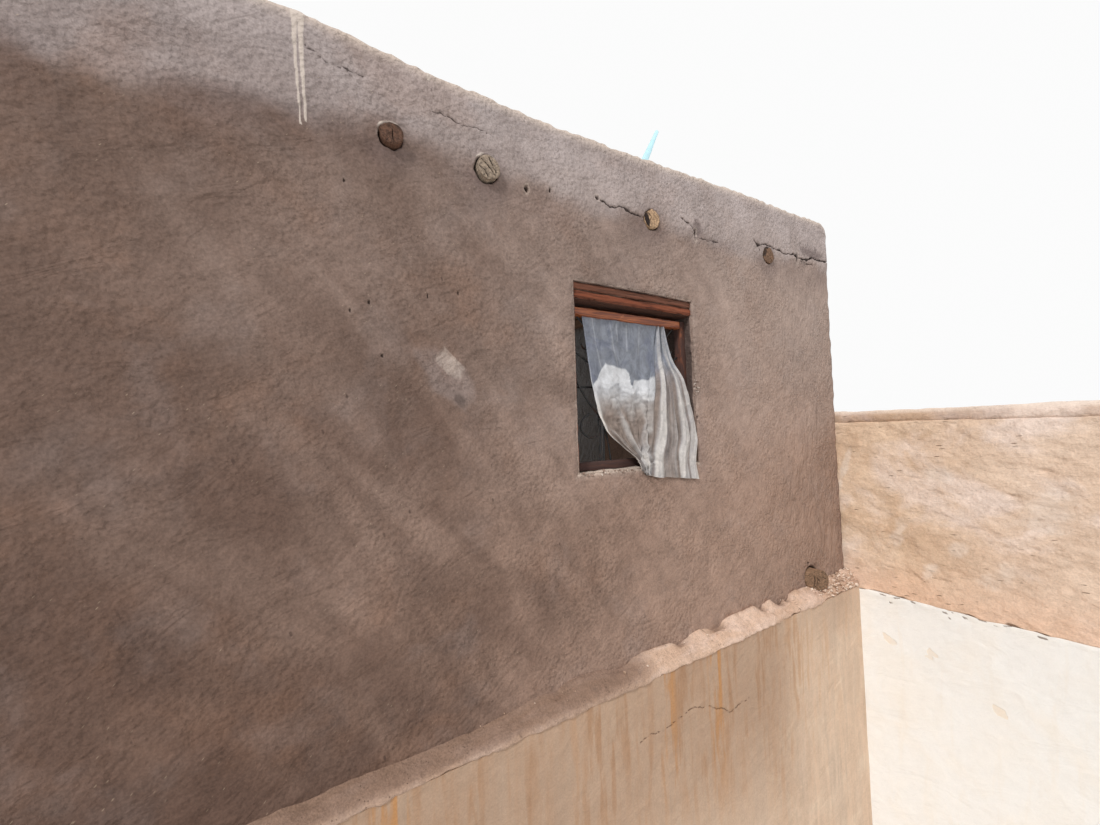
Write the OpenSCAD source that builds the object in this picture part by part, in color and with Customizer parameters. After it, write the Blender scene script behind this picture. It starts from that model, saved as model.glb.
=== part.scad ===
// Adobe house of two storeys: plastered lower walls, a mud-plastered upper room under a flat
// pole roof, and a length of courtyard wall that meets it at the corner.

/* [Upper storey] */
// Length of the upper storey, left end to right end
house_len = 6000; // [5700:10:6300]
// Depth of the upper storey, front face to back face
house_dep = 3200; // [3000:10:3500]
// Thickness of the upper walls
wall_t = 400; // [360:5:440]
// Height of the upper walls, from their bed to the roof poles' axes
upper_h = 2690; // [2600:10:2800]
// Rounding of the outer upright corners
corner_r = 60; // [30:5:90]

/* [Lower storey] */
// How far the lower walls stand out past the upper ones
step_w = 100; // [80:5:130]
// Height of the lower walls, up to the joists' bed
lower_h = 2800; // [2700:10:2900]
// Drop from the joists' bed to the shelf under the ledge
shelf_drop = 60; // [45:5:80]
// Overhang of the ledge's nose past the lower wall
ledge_nose = 12; // [6:1:20]
// Upright height of the ledge's nose
nose_h = 16; // [10:1:25]

/* [Doorway] */
// Distance from the upper storey's left end to the doorway
door_x = 1880; // [1700:10:2000]
// Width of the doorway
door_w = 900; // [820:10:1000]
// Height of the doorway
door_h = 2000; // [1850:10:2100]
// Width of the door frame's members, seen from the front
door_frame_w = 60; // [45:1:80]
// Depth of the door frame's members
door_frame_d = 90; // [70:5:120]
// Distance from the lower wall's face back to the door frame
door_setback = 120; // [80:5:200]
// Height of the threshold
threshold_h = 50; // [30:5:80]
// Thickness of the boards over the doorway
door_board_t = 80; // [60:5:100]

/* [Upper floor] */
// Radius of a floor joist
joist_r = 88; // [75:1:100]
// Number of floor joists
joist_count = 9; // [8:1:10]
// Distance from the upper storey's right end to the first joist's axis
joist_end = 575; // [520:1:640]
// How far the joist at the courtyard corner sticks out of the front
joist_out = 75; // [40:1:80]
// Cover of plaster over the ends of the joists and poles that don't show
end_cover = 60; // [40:5:90]
// Thickness of a reed mat
mat_t = 20; // [15:1:30]
// Thickness of the beaten earth of the upper floor
floor_earth_t = 104; // [80:1:130]

/* [Window] */
// Distance from the upper storey's left end to the window opening
win_x = 3133; // [3000:1:3250]
// Width of the window opening
win_w = 980; // [900:10:1050]
// Height of the window opening
win_h = 980; // [900:10:1050]
// Height of the opening's sill above the upper floor
win_sill = 830; // [750:5:900]
// Thickness of each layer of lintel boards
board_t = 50; // [40:1:60]
// Bearing of the lintel boards in the wall, each side
bearing = 150; // [100:5:200]
// Cover of plaster in front of the lintel boards
board_cover = 12; // [8:1:20]
// Gap between two boards that lie side by side
board_gap = 4; // [2:1:8]
// Width of the window frame's members, seen from the front
frame_w = 50; // [40:1:60]
// Depth of the window frame's members
frame_d = 60; // [45:1:80]
// Distance from the wall's face back to the window frame
frame_setback = 66; // [50:1:90]
// Open joint between the window frame and the lintel
frame_gap = 28; // [15:1:40]
// Width of the rebate round the inside of the frame
rebate_w = 12; // [8:1:16]
// Depth of that rebate
rebate_d = 25; // [15:1:35]
// Thickness taken up by the folds of the hung sheet
sheet_t = 12; // [6:1:16]
// Distance from the frame's front back to the sheet's top
sheet_in = 17; // [10:1:17]
// Room that the sheet keeps from the sill's outer edge
sheet_clear = 10; // [5:1:30]

/* [Roof] */
// Radius of a roof pole at its butt
pole_butt_r = 71; // [66:1:76]
// Radius of a roof pole at its tip
pole_tip_r = 56; // [50:1:64]
// Distance from the left wall's inner face to the first pole's axis
pole_margin_left = 100; // [90:5:130]
// Distance from the right wall's inner face to the last pole's axis
pole_margin_right = 135; // [90:5:150]
// Thickness of the roof's beaten earth
roof_earth_t = 138; // [110:1:160]
// Height of the parapet above the roof poles' axes, before its crest was worn
parapet_h = 380; // [340:5:430]
// Thickness of the parapet
parapet_t = 300; // [260:5:340]
// Rounding of the parapet's top edges
parapet_r = 60; // [40:5:90]

/* [Stake] */
// Distance from the upper storey's left end to the foot of the stake
stake_x = 3790; // [3500:10:4100]
// Distance from the front face back to the stake's middle
stake_y = 110; // [90:5:150]
// Length of the stake above the parapet
stake_up = 375; // [300:5:420]
// Length of the stake in the parapet
stake_in = 140; // [100:5:160]
// Width of the stake at its foot
stake_foot_w = 54; // [45:1:60]
// Width of the stake at its top
stake_top_w = 34; // [25:1:40]
// Thickness of the stake
stake_t = 20; // [15:1:25]
// Lean of the stake to the right
stake_lean = 28; // [15:1:30]

/* [Courtyard wall] */
// Length of the courtyard wall in front of the upper storey's face
yard_len = 2400; // [2000:50:3000]
// Thickness of the courtyard wall
yard_t = 350; // [300:5:400]
// Height of the courtyard wall's upper part, from the shelf under the ledge to the coping
yard_upper_h = 1410; // [1200:10:1600]
// Drop from that shelf to the top of the courtyard wall's smooth lower plaster
yard_joint_drop = 15; // [5:5:60]
// Height of the coping
coping_h = 100; // [80:5:130]
// Overhang of the coping, each side
coping_over = 20; // [10:1:30]
// Rounding of the coping's top edges
coping_r = 42; // [30:1:45]

/* [Hidden] */
$fn = 64;

// Clearance between round timber and what it lies on or in
gap = 0.3;
// Overshoot of a cut past the face that it opens
over = 5;

// Levels above the ground
shelf_z = lower_h - shelf_drop;
joist_z = lower_h + joist_r + gap;
floor_mat_z = joist_z + joist_r + gap;
floor_earth_z = floor_mat_z + mat_t;
floor_z = floor_earth_z + floor_earth_t;
sill_z = floor_z + win_sill;
lintel_z = sill_z + win_h;
pole_z = lower_h + upper_h;
pole_top_z = pole_z + pole_butt_r;
roof_mat_z = pole_top_z + gap;
roof_earth_z = roof_mat_z + mat_t;
parapet_z = pole_z + parapet_h;
yard_joint = shelf_z - yard_joint_drop;
yard_h = shelf_z + yard_upper_h;
coping_z = yard_h + coping_h;

// Roof poles, from the left: how far each was laid off its even place, how far its front end
// stands out of the wall (a plastered one ends inside it), and whether its butt is in front
plastered = -end_cover;
pole_shift = [0, -30, -20, -10, 6, 57, 8, -71, -49, -46, -30, -14, 0];
pole_out = [
    plastered, plastered, plastered, plastered, 30, 25, plastered,
    plastered, 15, plastered, plastered, 10, plastered
];
butt_in_front = [
    true, false, true, false, false, true, false,
    true, true, false, true, true, false
];
pole_count = len(pole_shift);
pole_first = wall_t + pole_margin_left;
pole_last = house_len - wall_t - pole_margin_right;
pole_pitch = (pole_last - pole_first) / (pole_count - 1);
function pole_x(i) = pole_first + i * pole_pitch + pole_shift[i];
function pole_back_out(i) = pole_out[pole_count - 1 - i];

// Floor joists, from the right end; only the first one's end shows
joist_pitch = (house_len - joist_end - wall_t - joist_r - end_cover) / (joist_count - 1);
function joist_x(i) = house_len - joist_end - i * joist_pitch;
function joist_front(i) = i == 0 ? -joist_out : end_cover;

// How much the parapet's worn crest stands over or under its mean height, at even steps along
// each side: the front from the left, then on round to the back and the left
crest = [
    [10, 15, 20, 28, -13, -25, -15, 8, 34, 42, 62],
    [62, 48, 28, 20, 25],
    [25, 10, -5, -15, -5, 12, 20, 10, -8, 0, 15],
    [15, 22, 6, 2, 10]
];

crest_top = parapet_z + max([for (side = crest) max(side)]);

// Outline of the hung sheet, from the window's lower left corner: across the opening, then up.
// It hangs from the underside of the frame's head and leans out over the sill.
frame_h = win_h - frame_gap;
sheet_top = frame_h - frame_w - gap;
sheet_outline = [
    [110, sheet_top], [150, 490], [200, 286], [290, 110], [420, -110],
    [865, -121], [970, 140], [960, 374], [830, sheet_top]
];
sheet_y = frame_setback + sheet_in;
sheet_tilt = atan((sheet_y + sheet_t + sheet_clear) / sheet_top);

// The house stands on the middle of its own footprint
far_out = step_w + ledge_nose;
origin = [
    (house_len + yard_t + coping_over - far_out) / 2,
    (house_dep + far_out - yard_len) / 2,
    0
];

function arc(c, r, from, to, steps = 5) = r == 0 ? [c] : [
    for (i = [0:steps])
        let (a = from + (to - from) * i / steps) c + r * [cos(a), sin(a)]
];

// Plan of a block with its corners rounded, r = [front left, front right, back right, back left]
function block_plan(lo, hi, r) = concat(
    arc([lo.x + r[0], lo.y + r[0]], r[0], 180, 270),
    arc([hi.x - r[1], lo.y + r[1]], r[1], 270, 360),
    arc([hi.x - r[2], hi.y - r[2]], r[2], 0, 90),
    arc([lo.x + r[3], hi.y - r[3]], r[3], 90, 180)
);

// Outline of something with a level top whose two upper edges are rounded
function round_top(left, right, bottom, top, r) = concat(
    [[left, bottom], [right, bottom]],
    arc([right - r, top - r], r, 0, 90),
    arc([left + r, top - r], r, 90, 180)
);

module box(lo, hi) translate(lo) cube(hi - lo);

module block(lo, hi, r) translate([0, 0, lo.z])
    linear_extrude(hi.z - lo.z) polygon(block_plan(lo, hi, r));

// A shape drawn in the Y-Z plane, run along X; and one drawn in the X-Z plane, run along Y
module along_x(x0, x1) translate([x0, 0, 0]) rotate([90, 0, 90]) linear_extrude(x1 - x0) children();
module along_y(y0, y1) translate([0, y1, 0]) rotate([90, 0, 0]) linear_extrude(y1 - y0) children();

// Lower storey

// The shelf round the upper storey's outline, where the ledge lies
module shelf() difference() {
    box(
        [-step_w - over, -step_w - over, shelf_z],
        [house_len + step_w + over, house_dep + step_w + over, lower_h + over]
    );
    box([0, 0, shelf_z - over], [house_len, house_dep, lower_h + 2 * over]);
}

module door_lintel_pocket() box(
    [door_x - bearing, board_cover - step_w, door_h],
    [door_x + door_w + bearing, wall_t + over, door_h + door_board_t]
);

module lower_front_wall_left() color("burlywood") difference() {
    block([-step_w, -step_w, 0], [door_x, wall_t, lower_h], [corner_r, 0, 0, 0]);
    shelf();
    door_lintel_pocket();
}

module lower_front_wall_right() color("burlywood") difference() {
    box([door_x + door_w, -step_w, 0], [house_len, wall_t, lower_h]);
    shelf();
    door_lintel_pocket();
}

module lower_front_wall_over_door() color("burlywood") difference() {
    box([door_x, -step_w, door_h], [door_x + door_w, wall_t, lower_h]);
    shelf();
    translate([0, -board_cover - over, 0]) door_lintel_pocket();
    door_lintel_pocket();
}

module lower_back_wall() color("burlywood") difference() {
    block(
        [-step_w, house_dep - wall_t, 0],
        [house_len + step_w, house_dep + step_w, lower_h],
        [0, 0, corner_r, corner_r]
    );
    shelf();
}

module lower_left_wall() color("burlywood") difference() {
    box([-step_w, wall_t, 0], [wall_t, house_dep - wall_t, lower_h]);
    shelf();
}

module lower_right_wall() color("burlywood") difference() {
    box([house_len - wall_t, wall_t, 0], [house_len + step_w, house_dep - wall_t, lower_h]);
    shelf();
}

// The ledge all round: its top slopes from the upper wall's foot down to the nose
function ledge_profile(left, right) = [
    [left - far_out, shelf_z], [right + far_out, shelf_z],
    [right + far_out, shelf_z + nose_h], [right, lower_h], [left, lower_h],
    [left - far_out, shelf_z + nose_h]
];

module ledge_ring() difference() {
    intersection() {
        along_x(-far_out, house_len + far_out) polygon(ledge_profile(0, house_dep));
        along_y(-far_out, house_dep + far_out) polygon(ledge_profile(0, house_len));
        block(
            [-far_out, -far_out, shelf_z], [house_len + far_out, house_dep + far_out, lower_h],
            [for (i = [0:3]) corner_r + ledge_nose]
        );
    }
    box([0, 0, shelf_z - over], [house_len, house_dep, lower_h + over]);
}

module ledge_piece(lo, hi) color("peachpuff") intersection() {
    ledge_ring();
    box([lo.x, lo.y, shelf_z - over], [hi.x, hi.y, lower_h + over]);
}

module front_ledge() ledge_piece([-far_out - over, -far_out - over], [house_len, 0]);
module left_ledge() ledge_piece([-far_out - over, 0], [0, house_dep]);
module right_ledge() ledge_piece([house_len, wall_t], [house_len + far_out + over, house_dep]);
module back_ledge() ledge_piece(
    [-far_out - over, house_dep], [house_len + far_out + over, house_dep + far_out + over]
);

// Doorway

// A row of boards side by side, from y0 back to y1
module board_row(x0, x1, y0, y1, z0, t, rows) {
    pitch = (y1 - y0 + board_gap) / rows;
    for (i = [0:rows - 1])
        box([x0, y0 + i * pitch, z0], [x1, y0 + (i + 1) * pitch - board_gap, z0 + t]);
}

module door_lintel() color("saddlebrown") board_row(
    door_x - bearing, door_x + door_w + bearing, board_cover - step_w, wall_t, door_h, door_board_t, 4
);

door_y = door_setback - step_w;

module door_jamb(x) color("sienna") box(
    [x, door_y, 0], [x + door_frame_w, door_y + door_frame_d, door_h]
);

module door_left_jamb() door_jamb(door_x);
module door_right_jamb() door_jamb(door_x + door_w - door_frame_w);

module door_frame_head() color("sienna") box(
    [door_x + door_frame_w, door_y, door_h - door_frame_w],
    [door_x + door_w - door_frame_w, door_y + door_frame_d, door_h]
);

module door_threshold() color("sienna") box(
    [door_x + door_frame_w, door_y, 0],
    [door_x + door_w - door_frame_w, door_y + door_frame_d, threshold_h]
);

// Upper floor

module joist(i) translate([joist_x(i), joist_front(i), joist_z]) rotate([-90, 0, 0])
    cylinder(h = house_dep - end_cover - joist_front(i), r = joist_r);

module floor_joists() color("peru") for (i = [0:joist_count - 1]) joist(i);

// The arched notch that the wall leaves over a joist
module joist_notch(i) {
    steps = 12;
    r = (joist_r + gap) / cos(90 / steps);
    translate([joist_x(i), 0, joist_z])
        along_y(joist_front(i) - gap, house_dep - end_cover + gap)
            polygon(concat([[-r, -joist_r - over], [r, -joist_r - over]], arc([0, 0], r, 0, 180, steps)));
}

module joist_notches() for (i = [0:joist_count - 1]) joist_notch(i);

module floor_slab(z, t) box(
    [wall_t, wall_t, z], [house_len - wall_t, house_dep - wall_t, z + t]
);

module floor_mat() color("wheat") floor_slab(floor_mat_z, mat_t);
module floor_earth() color("tan") floor_slab(floor_earth_z, floor_earth_t);

// Upper walls

// A roof pole: a tapered round timber, its upper side level
module pole(i, grow = 0) {
    front = -pole_out[i];
    length = house_dep + pole_back_out(i) - front;
    front_r = butt_in_front[i] ? pole_butt_r : pole_tip_r;
    back_r = butt_in_front[i] ? pole_tip_r : pole_butt_r;
    translate([pole_x(i), front, pole_top_z - front_r])
        rotate([atan((front_r - back_r) / length) - 90, 0, 0])
            translate([0, 0, -grow])
                cylinder(h = length + 2 * grow, r1 = front_r + grow, r2 = back_r + grow);
}

module pole_seats() for (i = [0:pole_count - 1]) pole(i, gap);

module window_lintel_pocket() box(
    [win_x - bearing, board_cover, lintel_z],
    [win_x + win_w + bearing, wall_t + over, lintel_z + 2 * board_t]
);

module upper_front_wall_left() color("rosybrown") difference() {
    block([0, 0, lower_h], [win_x, wall_t, pole_z], [corner_r, 0, 0, 0]);
    window_lintel_pocket();
    joist_notches();
    pole_seats();
}

module upper_front_wall_right() color("rosybrown") difference() {
    block([win_x + win_w, 0, lower_h], [house_len, wall_t, pole_z], [0, corner_r / 2, 0, 0]);
    window_lintel_pocket();
    joist_notches();
    pole_seats();
}

module upper_front_wall_under_window() color("rosybrown") difference() {
    box([win_x, 0, lower_h], [win_x + win_w, wall_t, sill_z]);
    joist_notches();
}

module upper_front_wall_over_window() color("rosybrown") difference() {
    box([win_x, 0, lintel_z + 2 * board_t], [win_x + win_w, wall_t, pole_z]);
    pole_seats();
}

module upper_back_wall() color("rosybrown") difference() {
    block([0, house_dep - wall_t, lower_h], [house_len, house_dep, pole_z], [0, 0, corner_r, corner_r]);
    joist_notches();
    pole_seats();
}

module upper_end_wall(x) color("rosybrown") box(
    [x, wall_t, lower_h], [x + wall_t, house_dep - wall_t, pole_z]
);

module upper_left_wall() upper_end_wall(0);
module upper_right_wall() upper_end_wall(house_len - wall_t);

// Window

module window_lintel_layer(layer) color("sienna") board_row(
    win_x - bearing, win_x + win_w + bearing, board_cover, wall_t,
    lintel_z + layer * board_t, board_t, 3
);

module window_lintel_lower() window_lintel_layer(0);
module window_lintel_upper() window_lintel_layer(1);

// Section of a frame member, its outer edge at the left and its rebate at the inner back corner
frame_section = [
    [0, 0], [frame_w, 0], [frame_w, frame_d - rebate_d],
    [frame_w - rebate_w, frame_d - rebate_d], [frame_w - rebate_w, frame_d], [0, frame_d]
];

module frame_member(length) color("chocolate") linear_extrude(length) polygon(frame_section);

module window_left_jamb() translate([win_x, frame_setback, sill_z]) frame_member(frame_h);

module window_right_jamb() translate([win_x + win_w, frame_setback, sill_z])
    mirror([1, 0, 0]) frame_member(frame_h);

module window_frame_sill() translate([win_x + frame_w, frame_setback, sill_z])
    mirror([0, 0, 1]) rotate([0, 90, 0]) frame_member(win_w - 2 * frame_w);

module window_frame_head() translate([win_x + frame_w, frame_setback, sill_z + frame_h])
    rotate([0, 90, 0]) frame_member(win_w - 2 * frame_w);

module window_sheet() color("ghostwhite") translate([win_x, sheet_y, sill_z + sheet_top])
    rotate([-sheet_tilt, 0, 0])
        translate([0, 0, -sheet_top])
            along_y(0, sheet_t) polygon(sheet_outline);

// Roof

module roof_poles() color("peru") for (i = [0:pole_count - 1]) pole(i);

module roof_slab(z, t) box(
    [parapet_t, parapet_t, z], [house_len - parapet_t, house_dep - parapet_t, z + t]
);

module roof_mat() color("wheat") roof_slab(roof_mat_z, mat_t);
module roof_earth() color("tan") roof_slab(roof_earth_z, roof_earth_t);

// The parapet's section as pairs: how far in from the outer faces, and the height. Its first points
// are at the walls' top, where the filling between the poles is as thick as the wall; the rounded
// ones hang from the crest, so their heights are counted from there.
parapet_section = concat(
    [[wall_t, roof_mat_z], [wall_t, pole_z], [0, pole_z]],
    arc([parapet_r, -parapet_r], parapet_r, 180, 90),
    arc([parapet_t - parapet_r, -parapet_r], parapet_r, 90, 0),
    [[parapet_t, roof_mat_z]]
);

// The four corners of the house's outline, moved in by d, and a closed ring of points along them
function corners(d) = [
    [d, d], [house_len - d, d], [house_len - d, house_dep - d], [d, house_dep - d]
];
function ring(d, z) = [
    for (side = [0:3], i = [0:len(crest[side]) - 2])
        let (f = i / (len(crest[side]) - 1), a = corners(d)[side], b = corners(d)[(side + 1) % 4])
            [each a + f * (b - a), z < pole_z ? parapet_z + crest[side][i] + z : z]
];

// The whole parapet: the section carried round the house's outline, its height following the crest
module parapet_ring() {
    points = [for (p = parapet_section) each ring(p.x, p.y)];
    n = len(ring(0, pole_z));
    m = len(parapet_section);
    polyhedron(points, [
        for (j = [0:m - 1], i = [0:n - 1])
            let (a = j * n + i, b = j * n + (i + 1) % n, up = ((j + 1) % m - j) * n)
                each [[a, b + up, b], [a, a + up, b + up]]
    ]);
}

module parapet_piece(lo, hi) color("rosybrown") difference() {
    intersection() {
        parapet_ring();
        block(
            [0, 0, pole_z - over], [house_len, house_dep, crest_top + over],
            [for (i = [0:3]) corner_r]
        );
        box([lo.x, lo.y, pole_z - over], [hi.x, hi.y, crest_top + over]);
    }
    pole_seats();
}

module front_parapet() color("rosybrown") difference() {
    parapet_piece([0, 0], [house_len, wall_t]);
    stake(gap);
}

module back_parapet() parapet_piece([0, house_dep - wall_t], [house_len, house_dep]);
module left_parapet() parapet_piece([0, wall_t], [wall_t, house_dep - wall_t]);
module right_parapet() parapet_piece([house_len - wall_t, wall_t], [house_len, house_dep - wall_t]);

// A tapered painted board set in the parapet's top
module stake(grow = 0) translate([stake_x, stake_y, parapet_z]) rotate([0, stake_lean, 0])
    along_y(-stake_t / 2 - grow, stake_t / 2 + grow) polygon([
        [-stake_foot_w / 2 - grow, -stake_in - grow], [stake_foot_w / 2 + grow, -stake_in - grow],
        [stake_top_w / 2 + grow, stake_up], [-stake_top_w / 2 - grow, stake_up]
    ]);

module roof_stake() color("paleturquoise") stake();

// Courtyard wall: it passes the end of the front wall and stops against the lower end wall

module courtyard_wall_lower() color("linen") box(
    [house_len, -yard_len, 0], [house_len + yard_t, wall_t, yard_joint]
);

module courtyard_wall_upper() color("tan") box(
    [house_len, -yard_len, yard_joint], [house_len + yard_t, wall_t, yard_h]
);

module courtyard_wall_coping() color("tan") difference() {
    along_y(-yard_len, wall_t) polygon(round_top(
        house_len - coping_over, house_len + yard_t + coping_over, yard_h, coping_z, coping_r
    ));
    box([house_len - coping_over - over, 0, yard_h - over], [house_len, wall_t + over, coping_z + over]);
}

module placed() translate(-origin) children();

placed() lower_front_wall_left();
placed() lower_front_wall_right();
placed() lower_front_wall_over_door();
placed() lower_back_wall();
placed() lower_left_wall();
placed() lower_right_wall();
placed() front_ledge();
placed() back_ledge();
placed() left_ledge();
placed() right_ledge();
placed() door_lintel();
placed() door_frame_head();
placed() door_left_jamb();
placed() door_right_jamb();
placed() door_threshold();
placed() floor_joists();
placed() floor_mat();
placed() floor_earth();
placed() upper_front_wall_left();
placed() upper_front_wall_right();
placed() upper_front_wall_under_window();
placed() upper_front_wall_over_window();
placed() upper_back_wall();
placed() upper_left_wall();
placed() upper_right_wall();
placed() window_lintel_lower();
placed() window_lintel_upper();
placed() window_frame_head();
placed() window_frame_sill();
placed() window_left_jamb();
placed() window_right_jamb();
placed() window_sheet();
placed() roof_poles();
placed() roof_mat();
placed() roof_earth();
placed() front_parapet();
placed() back_parapet();
placed() left_parapet();
placed() right_parapet();
placed() roof_stake();
placed() courtyard_wall_lower();
placed() courtyard_wall_upper();
placed() courtyard_wall_coping();
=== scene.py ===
"""Dresses an adobe house: mud plaster, round timbers, reed roof, window and studio.

Every length is in metres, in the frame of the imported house: +X along the front, +Y from the
front to the back, +Z up. Places on the front are also given as (along, up): metres from the
upper storey's left corner, and metres above the ground.
"""

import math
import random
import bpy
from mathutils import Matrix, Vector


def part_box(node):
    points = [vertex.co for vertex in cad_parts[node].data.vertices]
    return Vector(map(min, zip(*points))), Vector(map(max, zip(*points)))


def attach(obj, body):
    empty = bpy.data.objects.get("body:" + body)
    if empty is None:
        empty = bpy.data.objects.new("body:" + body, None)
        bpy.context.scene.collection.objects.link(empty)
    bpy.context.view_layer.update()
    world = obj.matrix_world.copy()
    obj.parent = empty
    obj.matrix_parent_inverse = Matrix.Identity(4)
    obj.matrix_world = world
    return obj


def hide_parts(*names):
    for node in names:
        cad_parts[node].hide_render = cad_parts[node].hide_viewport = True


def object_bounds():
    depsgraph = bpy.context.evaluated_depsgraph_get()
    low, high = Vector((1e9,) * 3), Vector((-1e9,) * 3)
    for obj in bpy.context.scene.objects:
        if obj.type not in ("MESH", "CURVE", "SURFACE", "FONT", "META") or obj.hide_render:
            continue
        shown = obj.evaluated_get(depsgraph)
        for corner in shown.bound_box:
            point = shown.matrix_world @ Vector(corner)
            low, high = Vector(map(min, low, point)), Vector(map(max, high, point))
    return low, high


bl_info = {
    "name": "Adobe House",
    "version": (1, 0, 0),
    "blender": (4, 5, 0),
    "location": "3D View > Sidebar > House",
    "description": "Builds the visible pieces of an adobe house around its packed frame",
    "category": "Object",
}

import bmesh
import bpy
from bpy.props import FloatProperty, FloatVectorProperty, IntProperty, PointerProperty
from mathutils import Matrix, Vector, noise

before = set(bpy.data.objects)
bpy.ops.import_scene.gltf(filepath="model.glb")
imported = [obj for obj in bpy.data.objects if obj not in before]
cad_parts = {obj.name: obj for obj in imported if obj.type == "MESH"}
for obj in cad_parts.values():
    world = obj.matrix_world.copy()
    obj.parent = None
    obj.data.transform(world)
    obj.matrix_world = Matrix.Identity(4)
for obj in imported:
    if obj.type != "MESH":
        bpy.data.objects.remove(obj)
CAD_BOX = [list(corner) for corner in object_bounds()]

X, Y, Z = Vector((1, 0, 0)), Vector((0, 1, 0)), Vector((0, 0, 1))
TOUCH = 1e-4  # places closer than this are the same
SQUARE = 0.9  # a face looks along an axis when its normal has more than this of it


# Where the house stands, read from the frame


def around(*nodes):
    """The lowest and highest corner of several nodes together."""
    boxes = [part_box(node) for node in nodes]
    low = Vector(min(box[0][i] for box in boxes) for i in range(3))
    high = Vector(max(box[1][i] for box in boxes) for i in range(3))
    return low, high


UPPER_LOW, UPPER_HIGH = around("upper_front_wall_left", "upper_right_wall", "upper_back_wall")
LOWER_LOW, LOWER_HIGH = around("lower_front_wall_left", "lower_right_wall", "lower_back_wall")
ROOM_LOW = Vector((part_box("upper_left_wall")[1].x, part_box("upper_left_wall")[0].y, 0))
ROOM_HIGH = Vector((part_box("upper_right_wall")[0].x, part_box("upper_left_wall")[1].y, 0))
LEFT, FRONT = UPPER_LOW.x, UPPER_LOW.y
WINDOW_LOW = Vector((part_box("upper_front_wall_over_window")[0].x, FRONT,
                     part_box("upper_front_wall_under_window")[1].z))
WINDOW_HIGH = Vector((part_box("upper_front_wall_over_window")[1].x, FRONT,
                      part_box("upper_front_wall_over_window")[0].z))
DOOR_LOW = Vector((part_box("lower_front_wall_over_door")[0].x, LOWER_LOW.y, 0.012))
DOOR_HIGH = Vector((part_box("lower_front_wall_over_door")[1].x, LOWER_LOW.y,
                    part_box("lower_front_wall_over_door")[0].z))
YARD_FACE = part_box("courtyard_wall_upper")[0].x
PROUD = 0.005  # a timber shows in the front when its end stands out by more than this
ARRIS_INSET = 0.06  # how far in from a wall's face the parapet's round arris reaches its full height


def on_front(along, up, out):
    """A place on the upper storey's front, from its left corner and the ground."""
    return Vector((LEFT + along, FRONT - out, up))


def tops(node, axis):
    """The height of a parapet's outer arris along one axis, as sorted (place, height) pairs."""
    highest = {}
    low, high = UPPER_LOW[1 - axis], UPPER_HIGH[1 - axis]
    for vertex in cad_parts[node].data.vertices:
        inset = min(vertex.co[1 - axis] - low, high - vertex.co[1 - axis])
        if vertex.co.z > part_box("roof_earth")[1].z + 0.1 and abs(inset - ARRIS_INSET) < 0.005:
            place = round(vertex.co[axis], 2)
            highest[place] = max(highest.get(place, 0), vertex.co.z)
    return sorted(highest.items())


def read_off(line, place):
    """The height of a line of (place, height) pairs at one place."""
    for (start, low), (end, high) in zip(line, line[1:]):
        if start <= place <= end:
            share = (place - start) / max(end - start, 1e-6)
            return low + (high - low) * share
    return line[0][1] if place < line[0][0] else line[-1][1]


CREST = {
    "front": tops("front_parapet", 0),
    "back": tops("back_parapet", 0),
    "left": tops("left_parapet", 1),
    "right": tops("right_parapet", 1),
}


def loose_parts(node):
    """The loose parts of a node, each as its list of corners."""
    bm = bmesh.new()
    bm.from_mesh(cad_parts[node].data)
    bmesh.ops.remove_doubles(bm, verts=bm.verts, dist=1e-5)
    found, left = [], set(bm.verts)
    while left:
        part, edge = [], [left.pop()]
        while edge:
            vertex = edge.pop()
            part.append(vertex.co.copy())
            for link in vertex.link_edges:
                other = link.other_vert(vertex)
                if other in left:
                    left.remove(other)
                    edge.append(other)
        found.append(part)
    bm.free()
    return sorted(found, key=lambda part: (min(co.x for co in part), min(co.y for co in part)))


def round_timbers(node, butt):
    """Each round timber of a node, as (front centre, front radius, back centre, back radius).

    Ends that stand out of the front are worn thinner, by the factor butt."""
    timbers = []
    for part in loose_parts(node):
        ends = []
        for y in (min(co.y for co in part), max(co.y for co in part)):
            ring = [co for co in part if abs(co.y - y) < 0.002]
            low_x, high_x = min(co.x for co in ring), max(co.x for co in ring)
            low_z, high_z = min(co.z for co in ring), max(co.z for co in ring)
            ends.append(Vector(((low_x + high_x) / 2, y, (low_z + high_z) / 2)))
            ends.append((high_x - low_x) / 2)
        if ends[0].y < FRONT - PROUD:
            ends[1] *= butt
        timbers.append(ends)
    return timbers


POLES = round_timbers("roof_poles", 0.84)
JOISTS = round_timbers("floor_joists", 0.97)


# Settings that a user would change


def tone(red, green, blue):
    """A colour as it shows on screen, turned into the light values that materials take."""
    light = [v / 12.92 if v <= 0.04045 else ((v + 0.055) / 1.055) ** 2.4 for v in (red, green, blue)]
    return (*light, 1.0)


def colour_property(name, description, *shown):
    return FloatVectorProperty(name=name, description=description, default=tone(*shown),
                               subtype="COLOR", size=4, min=0, max=1)


def length_property(name, description, default, low, high):
    return FloatProperty(name=name, description=description, default=default,
                         min=low, max=high, unit="LENGTH", precision=4)


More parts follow.
